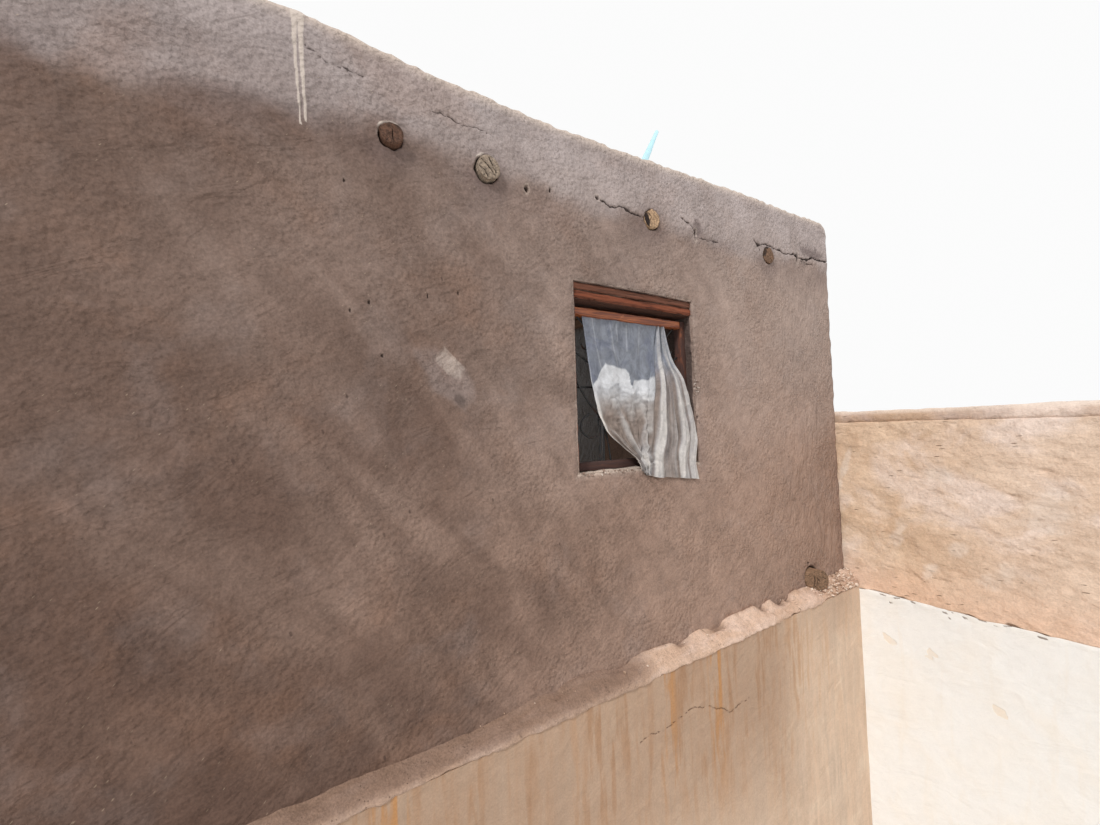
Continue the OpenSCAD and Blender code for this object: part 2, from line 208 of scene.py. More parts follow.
class PlasterSettings(bpy.types.PropertyGroup):
    """Mesh sizes, relief and colours of the plastered walls."""

    front_pitch: length_property("Front mesh", "Width of a mesh cell on the front", 0.022, 0.01, 0.1)
    side_pitch: length_property("Side mesh", "Width of a mesh cell on the other sides", 0.06, 0.02, 0.3)
    corner: length_property("Corner", "Rounding of the walls' corners", 0.06, 0.01, 0.1)
    swell: length_property("Swell", "Height of the broad waves left by the float", 0.008, 0, 0.02)
    # The left end's colour is partly painted shade: it is darker than the mud alone.
    upper_left: colour_property("Upper left", "Mud of the upper storey's left end", 0.415, 0.335, 0.295)
    upper_right: colour_property("Upper right", "Mud of its right end", 0.61, 0.535, 0.495)
    parapet: colour_property("Parapet", "Mud of the band above the poles", 0.65, 0.605, 0.595)
    lower: colour_property("Lower storey", "Plaster of the lower storey", 0.86, 0.755, 0.66)
    ledge: colour_property("Ledge", "Smoothed mud of the ledge", 0.84, 0.71, 0.615)
    yard: colour_property("Courtyard wall", "Mud of the courtyard wall", 0.86, 0.75, 0.645)
    wash: colour_property("Wash", "Pale wash low on the courtyard wall", 0.93, 0.92, 0.90)
    limewash: colour_property("Limewash", "Pale wash on the rooms' walls", 0.80, 0.81, 0.82)
    earth: colour_property("Earth", "Beaten earth of the roof and floor", 0.62, 0.52, 0.43)


class TimberSettings(bpy.types.PropertyGroup):
    """Colours of the timbers, reeds, iron and paint."""

    lintel: colour_property("Lintel", "Boards over the window", 0.46, 0.245, 0.16)
    varnish: colour_property("Varnish", "Worn varnish on the window's frame", 0.63, 0.36, 0.205)
    pole: colour_property("Poles", "Round timbers", 0.41, 0.295, 0.235)
    grey: colour_property("Grey timber", "Timber that the sun has bleached", 0.60, 0.55, 0.50)
    door: colour_property("Door frame", "Boards round the doorway", 0.50, 0.40, 0.31)
    reed: colour_property("Reed", "Canes of the roof and floor mats", 0.74, 0.64, 0.44)
    paint: colour_property("Stake", "Flaking paint on the roof stake", 0.75, 0.91, 0.95)
    iron: colour_property("Iron", "Scrolled bars in the window", 0.028, 0.028, 0.032)
    canes: IntProperty(name="Canes", description="Canes side by side in a mat",
                       default=124, min=20, max=300)


class SheetSettings(bpy.types.PropertyGroup):
    """The sheet that hangs in the window."""

    # white also colours the painted sunlight on the sheet and the painted light on its folds; sheer
    # also stands for the cloth in painted shade
    white: colour_property("Sheet", "Cloth where it lies double", 0.85, 0.82, 0.79)
    sheer: colour_property("Sheer", "Cloth where it is thin and dirty", 0.55, 0.565, 0.60)
    fold: length_property("Folds", "Depth of the folds", 0.022, 0, 0.05)
    thickness: length_property("Thickness", "Thickness of the cloth", 0.0008, 0.0003, 0.003)


class StageSettings(bpy.types.PropertyGroup):
    """The camera, the floor and the lamps."""

    lens: FloatProperty(name="Lens", description="Focal length", default=14.62, min=8, max=100,
                        unit="CAMERA")
    floor: colour_property("Floor", "Pale floor", 0.93, 0.93, 0.925)
    sky: FloatProperty(name="Sky", description="Strength of the even light", default=0.45, min=0, max=2)
    key: FloatProperty(name="Key lamp", description="Strength of the main lamp", default=2.4,
                       min=0, max=10)
    fill: FloatProperty(name="Fill lamp", description="Strength of the weak lamps", default=0.7,
                        min=0, max=10)
    rooms: FloatProperty(name="Room lamps", description="Power of the weak lamp in each room",
                         default=22, min=0, max=100, unit="POWER")


# Materials


class Value:
    """One socket of a material. Arithmetic on it adds Math nodes."""

    def __init__(self, finish, socket):
        self.finish = finish
        self.socket = socket

    def math(self, operation, *values, clamp=False):
        settings = {"operation": operation, "use_clamp": clamp}
        return self.finish.node("Math", settings, dict(enumerate(values)))

    def __add__(self, other):
        return self.math("ADD", self, other)

    def __radd__(self, other):
        return self.math("ADD", other, self)

    def __sub__(self, other):
        return self.math("SUBTRACT", self, other)

    def __rsub__(self, other):
        return self.math("SUBTRACT", other, self)

    def __mul__(self, other):
        return self.math("MULTIPLY", self, other)

    def __rmul__(self, other):
        return self.math("MULTIPLY", other, self)

    def clamped(self):
        return self.math("ADD", self, 0.0, clamp=True)


class Finish:
    """One material, or the world, while it is made: its nodes are added through node().

    colour is the surface's colour so far, which coat() and lit() go on working at."""

    def __init__(self, name, world=None):
        self.material = world or bpy.data.materials.new(name)
        self.material.use_nodes = True
        self.tree = self.material.node_tree
        self.tree.nodes.clear()
        self.place = None if world else self.node("TexCoord", output="Object")
        self.colour = None

    def node(self, kind, settings=None, values=None, output=0):
        """Adds a node of a kind: its settings first, then a value or a link for each socket."""
        made = self.tree.nodes.new("ShaderNode" + kind)
        for name, setting in (settings or {}).items():
            setattr(made, name, setting)
        for name, value in (values or {}).items():
            if isinstance(value, Value):
                self.tree.links.new(value.socket, made.inputs[name])
            else:
                made.inputs[name].default_value = value
        return Value(self, made.outputs[output])

    def mark(self, name, output=2):
        """An attribute of the mesh: 2 reads a number and 1 a vector."""
        return self.node("Attribute", {"attribute_name": name}, output=output)

    def mapped(self, place=None, scale=(1, 1, 1), turn=(0, 0, 0), shift=(0, 0, 0)):
        """A place turned, then stretched and shifted, so that long patches lie at a slant."""
        if any(turn):
            place = self.node("Mapping", None, {"Vector": place or self.place, "Rotation": turn})
        values = {"Vector": place or self.place, "Scale": scale, "Location": shift}
        return self.node("Mapping", None, values)

    def noise(self, size, detail=3.0, rough=0.55, warp=0.0, place=None, **mapping):
        """Cloudy noise from 0 to 1, with patches about as wide as size."""
        if mapping:
            place = self.mapped(place, **mapping)
        values = {"Vector": place or self.place, "Scale": 1 / size, "Detail": detail,
                  "Roughness": rough, "Distortion": warp}
        return self.node("TexNoise", None, values)

    def cells(self, size, feature="F1", **mapping):
        """Distance to the nearest of scattered points, in cells about as wide as size."""
        values = {"Vector": self.mapped(**mapping) if mapping else self.place, "Scale": 1 / size}
        return self.node("TexVoronoi", {"feature": feature}, values)

    def axis(self, number):
        """The place along X (0), Y (1) or Z (2)."""
        return self.node("SeparateXYZ", None, {0: self.place}, output=number)

    def step(self, value, start, end, low=0.0, high=1.0):
        """A smooth step from low to high as value goes from start to end."""
        return self.node("MapRange", {"interpolation_type": "SMOOTHSTEP"},
                         {0: value, 1: start, 2: end, 3: low, 4: high})

    def blend(self, factor, under, over, kind="MIX"):
        settings = {"data_type": "RGBA", "blend_type": kind}
        return self.node("Mix", settings, {0: factor, 6: under, 7: over}, output=2)

    def shade(self, colour, brightness):
        """The colour, made brighter or darker by a value round 1."""
        grey = self.node("CombineColor", None, {0: brightness, 1: brightness, 2: brightness})
        return self.blend(1.0, colour, grey, "MULTIPLY")

    def ragged(self, name, texture, share, start, end):
        """A mark of the mesh as a smooth step, with its edge broken up by a texture."""
        return self.step(self.mark(name) + (texture - 0.5) * share, start, end)

    def coat(self, factor, over):
        """Lays another colour over the colour so far, as thickly as factor says."""
        self.colour = self.blend(factor, self.colour, over)

    def lit(self, brightness):
        """Makes the colour so far brighter or darker by a value round 1."""
        self.colour = self.shade(self.colour, brightness)

    def finished(self, rough, height=None, shine=0.5, alpha=1.0):
        """Ends the material with the colour so far. height is the relief in metres."""
        values = {"Base Color": self.colour, "Roughness": rough, "Specular IOR Level": shine,
                  "Alpha": alpha}
        if height is not None:
            relief = {"Strength": 1.0, "Distance": 1.0, "Height": height}
            values["Normal"] = self.node("Bump", None, relief)
        return self.ended(self.node("BsdfPrincipled", None, values))

    def ended(self, shader, kind="OutputMaterial"):
        """Links a shader to the material's output and gives back the material."""
        made = self.tree.nodes.new("ShaderNode" + kind)
        self.tree.links.new(shader.socket, made.inputs["Surface"])
        return self.material


def upper_mud(settings):
    """Grey-brown mud with straw: browner at the left, paler at the right and on the parapet. The left's
    darker, browner tone and the darker low part are partly painted shade, and long diagonal patches are
    painted sun patches and shadows.
    """
    f = Finish("mud_plaster")
    across = f.axis(0)
    up = f.axis(2)
    broad = f.noise(1.2, 3.0, 0.55, 0.3)
    patches = f.noise(0.30, 5.0, 0.62, 0.5)
    # painted sun patches and cast shadows, lying in long diagonal patches
    painted_sun_patches = f.noise(0.24, 4.0, 0.6, 0.5, scale=(1, 1, 0.34), turn=(0, 0.62, 0))
    mottle = f.noise(0.075, 3.0, 0.55)
    pebbles = f.cells(0.020, "SMOOTH_F1")
    grain = f.noise(0.009, 2.0, 0.5)
    grit = f.noise(0.004, 1.0, 0.5)
    # paler towards the right: partly real bleaching, partly painted sunlight, broken up by the painted
    # sun patches
    bleach_and_sunlight = f.step(across + (broad - 0.5) * 3.0 + (painted_sun_patches - 0.5) * 2.6, -2.0, 1.6)
    f.colour = settings.upper_left
    f.coat(bleach_and_sunlight, settings.upper_right)
    # darker and browner low on the wall, most at the left: partly painted shade
    low = f.step(up + (broad - 0.5) * 2.0, 5.2, 3.3) * 0.68
    f.coat(low, f.blend(bleach_and_sunlight, tone(0.335, 0.25, 0.21), tone(0.595, 0.48, 0.41)))
    band = f.mark("band")
    f.coat((band * (0.45 + patches * 0.7)).clamped(), settings.parapet)
    warm = f.step(f.noise(0.5, 4.0, 0.6, 0.3), 0.50, 0.68) * (0.21 - bleach_and_sunlight * 0.11)
    f.coat(warm, tone(0.56, 0.42, 0.335))
    cool = f.step(f.noise(0.36, 4.0, 0.6, 0.3, shift=(7, 3, 1)), 0.50, 0.72) * 0.13
    f.coat(cool, tone(0.60, 0.56, 0.55))
    # stain also holds painted shade in the window's reveals
    stain = (f.mark("stain") * (0.35 + mottle * 0.7 + patches * 0.6)).clamped()
    f.coat(stain * 0.70, tone(0.37, 0.31, 0.30))
    # the painted sun patches also brighten the colour here
    light = (0.58 + f.step(patches, 0.30, 0.70) * 0.15 + f.step(mottle, 0.30, 0.70) * 0.13
             + pebbles * 0.18 + f.step(grain, 0.25, 0.75) * 0.27 + grit * 0.10
             + f.step(painted_sun_patches, 0.35, 0.65) * 0.07)
    f.lit(light)
    flecks = f.cells(0.07, scale=(1, 1, 0.45), turn=(0, 0.25, 0))
    dark = f.step(flecks + grain * 0.05, 0.115, 0.07) * f.step(f.noise(0.16, 3.0), 0.48, 0.60) * 0.6
    f.coat(dark, tone(0.25, 0.19, 0.17))
    straw = f.cells(0.036, scale=(2.4, 2.4, 0.4), turn=(0.3, -0.7, 0))
    pale_straw = f.step(straw, 0.12, 0.05) * f.step(f.noise(0.2, 2.0), 0.5, 0.62) * 0.4
    f.coat(pale_straw, tone(0.76, 0.68, 0.58))
    # worn: dust and wear, and a painted highlight along the crest and on upward faces
    worn = (f.mark("worn") * (0.3 + grain * 1.3)).clamped()
    f.coat(worn * 0.75, tone(0.83, 0.76, 0.70))
    pale = f.step(f.mark("pale") + (mottle - 0.5) * 0.35 + (grain - 0.5) * 0.2, 0.25, 0.85)
    f.coat(pale * 0.8, tone(0.81, 0.755, 0.71))
    # crack also holds painted shade in the holes, in the dark gaps beside the poles and in the right
    # reveal
    crack = f.ragged("crack", grain, 0.5, 0.25, 0.85)
    f.coat(crack * 0.88, tone(0.17, 0.125, 0.11))
    f.coat(f.mark("tone"), f.shade(settings.limewash, 0.8 + patches * 0.2 + mottle * 0.12))
    trowel = f.noise(0.15, 3.0, 0.55, 0.9, scale=(0.6, 1, 1.3), turn=(0, 0.5, 0))
    folds = f.noise(0.055, 3.0, 0.55, 0.5, scale=(1.2, 1, 0.6), turn=(0, 0.3, 0))
    scallops = f.cells(0.17, "SMOOTH_F1", scale=(0.8, 1, 1.2), turn=(0, 0.6, 0))
    rough = f.step(f.noise(0.5, 3.0), 0.42, 0.60) * (0.3 + bleach_and_sunlight) + band * 0.6
    rough = 0.35 + rough.clamped() * 0.85
    swirls = f.noise(0.085, 3.0, 0.55, 1.0, scale=(1.6, 1, 0.55), turn=(0, -0.2, 0))
    folds = folds * 0.005 + swirls * f.step(across, 1.2, 2.6) * 0.026
    fine = (0.7 - pebbles) * 0.0105 + grain * 0.0040 + grit * 0.0014
    height = (trowel * 0.018 + scallops * 0.006 + mottle * 0.008 + folds + fine * rough
              - dark * 0.0016 - crack * 0.004)
    return f.finished(0.93 - worn * 0.05, height, shine=0.25)


def lower_lime(settings):
    """Tan-cream plaster, streaked and stained by water from the ledge, and darker at the left from
    stain and painted shadow.
    """
    f = Finish("lower_plaster")
    up = f.axis(2)
    broad = f.noise(0.9, 4.0, 0.6, 0.5)
    patches = f.noise(0.28, 4.0, 0.62, 0.6)
    streaks = f.noise(0.045, 3.0, 0.6, 0.3, scale=(1, 1, 0.10))
    wide = f.noise(0.22, 4.0, 0.6, 0.5, scale=(1, 1, 0.22), shift=(3, 1, 2))
    mottle = f.noise(0.06, 4.0, 0.65, 0.3)
    grain = f.noise(0.010, 3.0, 0.7)
    f.colour = settings.lower
    f.coat(f.step(broad, 0.35, 0.68) * 0.6, tone(0.80, 0.69, 0.595))
    f.coat(f.step(patches, 0.48, 0.70) * 0.45, tone(0.88, 0.80, 0.71))
    near_ledge = f.step(up + (broad - 0.5) * 1.6, 0.9, 2.5)
    across = f.axis(0)
    near_ledge = near_ledge * f.step(across + (broad - 0.5), 2.9, 1.6, 0.3, 1.0)
    drips = f.step(streaks, 0.44, 0.62) * f.step(wide, 0.40, 0.60) * near_ledge
    f.coat(drips * 0.60, tone(0.71, 0.54, 0.385))
    grey = f.step(wide, 0.50, 0.34) * 0.3
    f.coat(grey, tone(0.80, 0.73, 0.66))
    # stain: water stains, and at the left partly painted shadow
    stain = (f.mark("stain") * (0.25 + streaks * 0.8 + patches * 0.5)).clamped()
    f.coat(stain * 0.85, tone(0.555, 0.415, 0.31))
    rust = f.mark("worn") * f.step(streaks, 0.44, 0.64) * near_ledge
    f.coat(rust * 0.6, tone(0.75, 0.53, 0.30))
    f.lit(0.70 + patches * 0.10 + f.step(mottle, 0.3, 0.7) * 0.07
          + f.step(grain, 0.3, 0.7) * 0.11 + f.step(streaks, 0.3, 0.7) * 0.13)
    foot = (f.mark("pale") * (0.3 + mottle * 0.8 + patches * 0.6)).clamped()
    f.coat(foot * 0.75, tone(0.55, 0.45, 0.36))
    crack = f.ragged("crack", grain, 0.5, 0.25, 0.85)
    f.coat(crack * 0.7, tone(0.36, 0.26, 0.19))
    f.coat(f.mark("tone"), f.shade(settings.limewash, 0.8 + patches * 0.2 + mottle * 0.12))
    trowel = f.noise(0.20, 4.0, 0.5, 1.2, scale=(0.5, 1, 1.2), turn=(0, 0.35, 0))
    height = (trowel * 0.013 + patches * 0.005 + mottle * 0.0035 + grain * 0.0016 - crack * 0.003)
    return f.finished(0.86, height, shine=0.3)


def yard_mud(name, base, shift):
    """Sandy mud plaster in overlapping strokes, with chips and pinkish patches."""
    f = Finish(name)
    nearer = f.step(f.axis(1), -0.8, -1.7)
    strokes = f.noise(0.12, 4.0, 0.6, 0.9, scale=(1, 0.60, 1.3), turn=(0.22, 0, 0), shift=shift)
    dashes = f.noise(0.034, 3.0, 0.6, 0.9, scale=(1, 0.50, 1.3), turn=(0.05, 0, 0), shift=shift)
    sweeps = f.noise(0.26, 3.0, 0.55, 1.3, scale=(1, 0.70, 1.2), turn=(0.45, 0, 0), shift=shift)
    patches = f.noise(0.42, 4.0, 0.6, 0.5, shift=shift)
    mottle = f.noise(0.06, 3.0, 0.55)
    pebbles = f.cells(0.022, "SMOOTH_F1")
    grain = f.noise(0.009, 2.0, 0.5)
    f.colour = base
    f.coat(f.step(patches, 0.38, 0.64) * 0.85, tone(0.80, 0.675, 0.56))
    pink = f.step(f.noise(0.5, 4.0, 0.6, 0.5, shift=(5, 2, 9)), 0.45, 0.66) * 0.7
    f.coat((pink + nearer * 0.35).clamped(), tone(0.91, 0.83, 0.775))
    f.coat(f.step(strokes, 0.50, 0.36) * 0.12, tone(0.75, 0.61, 0.49))
    f.coat((f.mark("stain") * (0.4 + sweeps)).clamped() * 0.75, tone(0.90, 0.755, 0.65))
    f.lit(0.73 + f.step(strokes, 0.32, 0.68) * 0.05 + f.step(sweeps, 0.34, 0.66) * 0.05
          + f.step(dashes, 0.3, 0.7) * 0.06 + f.step(mottle, 0.3, 0.7) * 0.10
          + f.step(grain, 0.25, 0.75) * 0.14 + pebbles * 0.06)
    chips = f.cells(0.055, scale=(1, 0.32, 2.2), turn=(0.12, 0, 0), shift=shift)
    dark = f.step(chips + grain * 0.05, 0.17, 0.10) * f.step(f.noise(0.2, 3.0), 0.45, 0.56) * 0.85
    f.coat(dark, tone(0.42, 0.32, 0.24))
    worn = (f.mark("worn") * (0.35 + grain + (mottle - 0.5) * 0.8)).clamped()
    f.coat(worn * 0.7, tone(0.93, 0.86, 0.80))
    pale = f.step(f.mark("pale") + (mottle - 0.5) * 1.1 + (sweeps - 0.5) * 0.8, 0.20, 1.1)
    f.coat(pale * 0.42, tone(0.88, 0.84, 0.80))
    crack = f.ragged("crack", grain, 0.5, 0.25, 0.85)
    f.coat(crack * 0.75, tone(0.33, 0.24, 0.185))
    height = (strokes * 0.005 + sweeps * 0.008 + mottle * 0.005 + dashes * 0.0055
              + (0.7 - pebbles) * 0.004 + grain * 0.0020 - dark * 0.003 - crack * 0.004)
    return f.finished(0.92, height, shine=0.25)


def yard_wash(settings):
    """Near-white wash, peeled to tan plaster in a few places."""
    f = Finish("yard_wash")
    patches = f.noise(0.5, 3.0, 0.6, 0.6)
    mottle = f.noise(0.05, 3.0, 0.55)
    grain = f.noise(0.009, 2.0, 0.5)
    f.colour = settings.wash
    f.coat(f.step(patches, 0.4, 0.7) * 0.55, tone(0.93, 0.90, 0.855))
    peeled = f.ragged("pale", mottle, 0.9, 0.38, 0.55)
    f.coat(peeled * (0.10 + mottle * 0.6), tone(0.90, 0.81, 0.69))
    streaks = f.noise(0.12, 4.0, 0.6, 0.5, scale=(1, 1, 0.16))
    f.coat(f.step(streaks, 0.52, 0.72) * 0.35, tone(0.92, 0.88, 0.82))
    f.lit(0.89 + mottle * 0.10 + grain * 0.08)
    foot = (f.mark("stain") * (0.3 + mottle * 0.8 + patches * 0.5)).clamped()
    f.coat(foot * 0.7, tone(0.68, 0.57, 0.45))
    crack = f.ragged("crack", grain, 0.6, 0.3, 0.9)
    f.coat(crack * 0.8, tone(0.42, 0.33, 0.26))
    trowel = f.noise(0.22, 4.0, 0.5, 1.1, scale=(1, 0.5, 1.2), turn=(0.35, 0, 0))
    height = (trowel * 0.014 + mottle * 0.0040 + grain * 0.0010 - peeled * 0.0020 - crack * 0.003
              + patches * 0.008)
    return f.finished(0.8, height, shine=0.3)


def ledge_mud(settings):
    """Pinkish mud smoothed by hand, with grit, painted shadow over its left part and painted shade in
    its notches.
    """
    f = Finish("ledge_mud")
    smears = f.noise(0.10, 3.0, 0.55, 0.8, scale=(0.35, 1, 1))
    mottle = f.noise(0.03, 3.0, 0.6)
    grain = f.noise(0.008, 2.0, 0.55)
    f.colour = settings.ledge
    f.coat(f.step(smears, 0.38, 0.66) * 0.7, tone(0.86, 0.755, 0.69))
    # stain here is painted shade: the shadow over the left part and the shade in the notches
    f.coat(f.mark("stain") * 0.85, tone(0.44, 0.335, 0.275))
    f.lit(0.66 + f.step(mottle, 0.3, 0.7) * 0.16 + f.step(grain, 0.3, 0.7) * 0.22
          + f.step(smears, 0.3, 0.7) * 0.10)
    grit = f.step(f.cells(0.016), 0.22, 0.08) * f.step(f.noise(0.09, 2.0), 0.46, 0.58)
    f.coat(grit * 0.7, tone(0.38, 0.30, 0.25))
    pale = f.mark("pale")
    stones = f.blend(f.step(pale, 0.3, 0.8), tone(0.70, 0.58, 0.49), tone(0.93, 0.865, 0.80))
    f.coat(f.step(pale, 0.02, 0.2) * 0.8, stones)
    crack = f.ragged("crack", grain, 0.3, 0.25, 0.75)
    f.coat(crack * 0.75, tone(0.28, 0.205, 0.165))
    height = smears * 0.010 + mottle * 0.008 + grain * 0.0022 - grit * 0.002
    return f.finished(0.88, height, shine=0.3)


def beaten_earth(settings):
    """Trodden earth with small stones and straw."""
    f = Finish("beaten_earth")
    patches = f.noise(0.5, 4.0, 0.6, 0.6)
    mottle = f.noise(0.06, 4.0, 0.65, 0.2)
    grain = f.noise(0.008, 3.0, 0.7)
    f.colour = settings.earth
    f.coat(f.step(patches, 0.35, 0.68), tone(0.72, 0.63, 0.545))
    f.lit(0.72 + mottle * 0.28 + grain * 0.24)
    straw = f.cells(0.03, scale=(2.6, 0.4, 2), turn=(0, 0, 0.8))
    f.coat(f.step(straw, 0.14, 0.05) * 0.6, tone(0.84, 0.76, 0.62))
    stones = f.step(f.cells(0.07), 0.2, 0.1) * 0.6
    f.coat(stones, tone(0.50, 0.43, 0.38))
    height = mottle * 0.008 + grain * 0.002 + stones * 0.004
    return f.finished(0.95, height, shine=0.2)


def timber(name, fresh, grey, split):
    """Sawn or round timber. The mesh's grain attribute runs along the fibres; end marks a cut end."""
    f = Finish(name)
    grain = f.mark("grain", 1)
    fibres = f.noise(0.006, 4.0, 0.65, 0.4, grain, scale=(1, 1, 0.035))
    bands = f.noise(0.017, 4.0, 0.62, 0.9, grain, scale=(1, 1, 0.06))
    blotches = f.noise(0.06, 3.0, 0.6, 0.5, grain, scale=(1, 1, 0.4))
    side = f.ragged("tone", blotches, 0.7, 0.2, 0.8)
    f.colour = fresh
    f.coat(side, grey)
    f.coat(f.mark("pale") * 0.85, tone(0.80, 0.66, 0.52))
    end_tone = f.colour
    f.lit(0.36 + f.step(fibres, 0.25, 0.75) * 0.42 + f.step(bands, 0.28, 0.70) * 0.62)
    flat = f.node("VectorMath", {"operation": "MULTIPLY"}, {0: grain, 1: (1, 1, 0)})
    radius = f.node("VectorMath", {"operation": "LENGTH"}, {0: flat}, output=1)
    wobble = f.noise(0.03, 2.0, 0.5, 0.0, flat)
    rings = f.node("Math", {"operation": "SINE"}, {0: (radius + wobble * 0.012) * 1100})
    pith = f.noise(0.016, 4.0, 0.65, 0.5, flat)
    spoke = f.node("VectorMath", {"operation": "NORMALIZE"}, {0: flat})
    checks = f.noise(0.11, 3.0, 0.6, 0.0, spoke)
    fans = f.step(checks, 0.44, 0.36) * f.step(radius, 0.010, 0.045)
    end_tone = f.shade(end_tone, 0.36 + rings * 0.06 + f.step(pith, 0.28, 0.72) * 0.78 - fans * 0.28)
    f.coat(f.mark("end"), end_tone)
    splits = f.step(fibres, split, split - 0.09) * f.step(bands, 0.55, 0.42) * 0.75
    # stain: painted shade under the boards, and the darker tone of boards given dark
    f.coat((f.mark("stain") * (0.4 + bands)).clamped(), tone(0.27, 0.18, 0.14))
    # crack also holds the painted shade on one side of the shown ends
    crack = f.ragged("crack", fibres, 0.2, 0.25, 0.7)
    f.coat((splits * (1 - f.mark("end")) + crack).clamped(), tone(0.13, 0.085, 0.065))
    dust = (f.mark("worn") * (0.3 + blotches)).clamped()
    f.coat(dust * 0.6, tone(0.72, 0.62, 0.54))
    height = fibres * 0.0026 + bands * 0.0050 - splits * 0.003 - crack * 0.003 + rings * 0.0003
    return f.finished(0.85 - side * 0.05, height, shine=0.3)


def varnished(settings):
    """Worn orange-brown varnish over reddish wood, black along its edges and low down."""
    f = Finish("frame_timber")
    grain = f.mark("grain", 1)
    fibres = f.noise(0.005, 4.0, 0.65, 0.3, grain, scale=(1, 1, 0.03))
    bands = f.noise(0.016, 4.0, 0.6, 0.9, grain, scale=(1, 1, 0.06))
    wear = f.noise(0.045, 4.0, 0.65, 0.6, grain, scale=(1, 1, 0.35))
    f.colour = settings.varnish
    f.coat(f.step(bands, 0.40, 0.62), tone(0.50, 0.255, 0.15))
    f.lit(0.52 + f.step(fibres, 0.25, 0.75) * 0.45 + f.step(bands, 0.62, 0.30) * 0.35)
    f.coat(f.step(wear, 0.58, 0.70) * 0.65, tone(0.74, 0.48, 0.33))
    dirt = f.ragged("tone", wear, 0.9, 0.35, 0.75)
    f.coat(dirt * 0.9, tone(0.22, 0.17, 0.165))
    height = fibres * 0.0012 + wear * 0.0018 + bands * 0.0020
    return f.finished(0.42 + dirt * 0.4 + wear * 0.2, height, shine=0.4)


def reed_canes(settings):
    """Split and whole canes, each with its own tint."""
    f = Finish("reed")
    tint = f.mark("tone")
    streaks = f.noise(0.006, 3.0, 0.6, 0.0, scale=(0.03, 1, 1))
    f.colour = settings.reed
    f.coat(tint, tone(0.60, 0.50, 0.36))
    f.lit(0.62 + streaks * 0.7)
    blots = f.step(f.noise(0.09, 3.0), 0.58, 0.7) * 0.4
    f.coat(blots, tone(0.40, 0.32, 0.24))
    return f.finished(0.6, streaks * 0.0008)


def wrought_iron(settings):
    f = Finish("wrought_iron")
    scale = f.noise(0.012, 4.0, 0.6)
    rust = f.step(f.noise(0.05, 3.0, 0.6), 0.55, 0.7)
    f.colour = settings.iron
    f.lit(0.7 + scale * 0.6)
    f.coat(rust * 0.6, tone(0.25, 0.16, 0.12))
    return f.finished(0.6 + rust * 0.3, scale * 0.0004)


def stake_paint(settings):
    """Turquoise paint that has flaked off pale wood at the edges and in long chips."""
    f = Finish("stake_paint")
    grain = f.mark("grain", 1)
    chips = f.noise(0.02, 4.0, 0.65, 0.4, grain, scale=(1, 1, 0.3))
    fibres = f.noise(0.004, 3.0, 0.6, 0.0, grain, scale=(1, 1, 0.04))
    flaked = f.step(chips + f.mark("worn") * 0.1, 0.68, 0.71)
    f.colour = settings.paint
    f.lit(0.91 + f.noise(0.05, 3.0) * 0.18)
    f.coat(flaked, f.shade(tone(0.66, 0.58, 0.49), 0.6 + fibres * 0.75))
    return f.finished(0.5 + flaked * 0.4, fibres * 0.0008 - flaked * 0.0006)


def thin_cloth(settings):
    """Thin sheet: see-through where it hangs single and dirty, white where it lies double. On the left
    the white is painted sunlight below a painted shadow edge, and in the fan the pale and dark bands
    are partly painted light and shade of the folds.
    """
    f = Finish("sheet")
    weave = f.node("TexCoord", output="UV")
    clouds = f.noise(0.12, 3.0, 0.6, 0.6)
    fine = f.noise(0.02, 3.0, 0.6, 0.2)
    white = f.mark("pale")
    doubled = f.blend(f.mark("tone"), tone(0.80, 0.80, 0.81), settings.white)
    f.colour = settings.sheer
    # the pale mark holds painted sunlight and painted fold light as well as doubled cloth
    f.coat(white, doubled)
    deep = f.step(f.noise(0.20, 3.0, 0.6, 1.2, shift=(2, 1, 4)), 0.46, 0.64) * 0.55
    f.coat(deep * (1 - white), tone(0.45, 0.47, 0.545))
    dirty = f.blend(f.mark("tone"), tone(0.56, 0.515, 0.475), tone(0.545, 0.48, 0.435))
    f.coat(f.ragged("stain", clouds, 0.3, 0.10, 1.0) * 0.90, dirty)
    creases = f.noise(0.045, 5.0, 0.62, 1.4)
    veils = f.noise(0.10, 4.0, 0.6, 2.5, scale=(1, 1, 0.5))
    f.lit(0.56 + clouds * 0.12 + fine * 0.12 + f.step(creases, 0.3, 0.7) * 0.20
          + f.step(veils, 0.3, 0.7) * (0.36 - white * 0.18) + white * 0.05)
    threads, picks = (f.node("TexWave", {"wave_type": "BANDS", "bands_direction": way},
                             {"Vector": weave, "Scale": 120.0, "Distortion": 0.4}) for way in "XY")
    height = (threads + picks) * 0.00012 + creases * 0.007
    cover = (0.62 + f.mark("worn") * 0.38 + (fine - 0.5) * 0.10).clamped()
    return f.finished(0.82, height, alpha=cover, shine=0.2)


# Shaping tools


MARKS = ("crack", "stain", "pale", "worn", "band", "tone", "end")


def new_shape():
    """An empty shape whose corners can carry marks and the direction of the grain."""
    bm = bmesh.new()
    for name in MARKS:
        bm.verts.layers.float.new(name)
    bm.verts.layers.float_vector.new("grain")
    return bm


def box_shape(low, high):
    """A shape that is the box between two corners."""
    bm = new_shape()
    place = Matrix.Translation((low + high) / 2) @ Matrix.Diagonal((*(high - low), 1))
    bmesh.ops.create_cube(bm, size=1.0, matrix=place)
    return bm


def bevelled(bm, edges, width, segments):
    bmesh.ops.bevel(bm, geom=edges, offset=width, offset_type="OFFSET", segments=segments,
                    profile=0.5, affect="EDGES", material=-1)


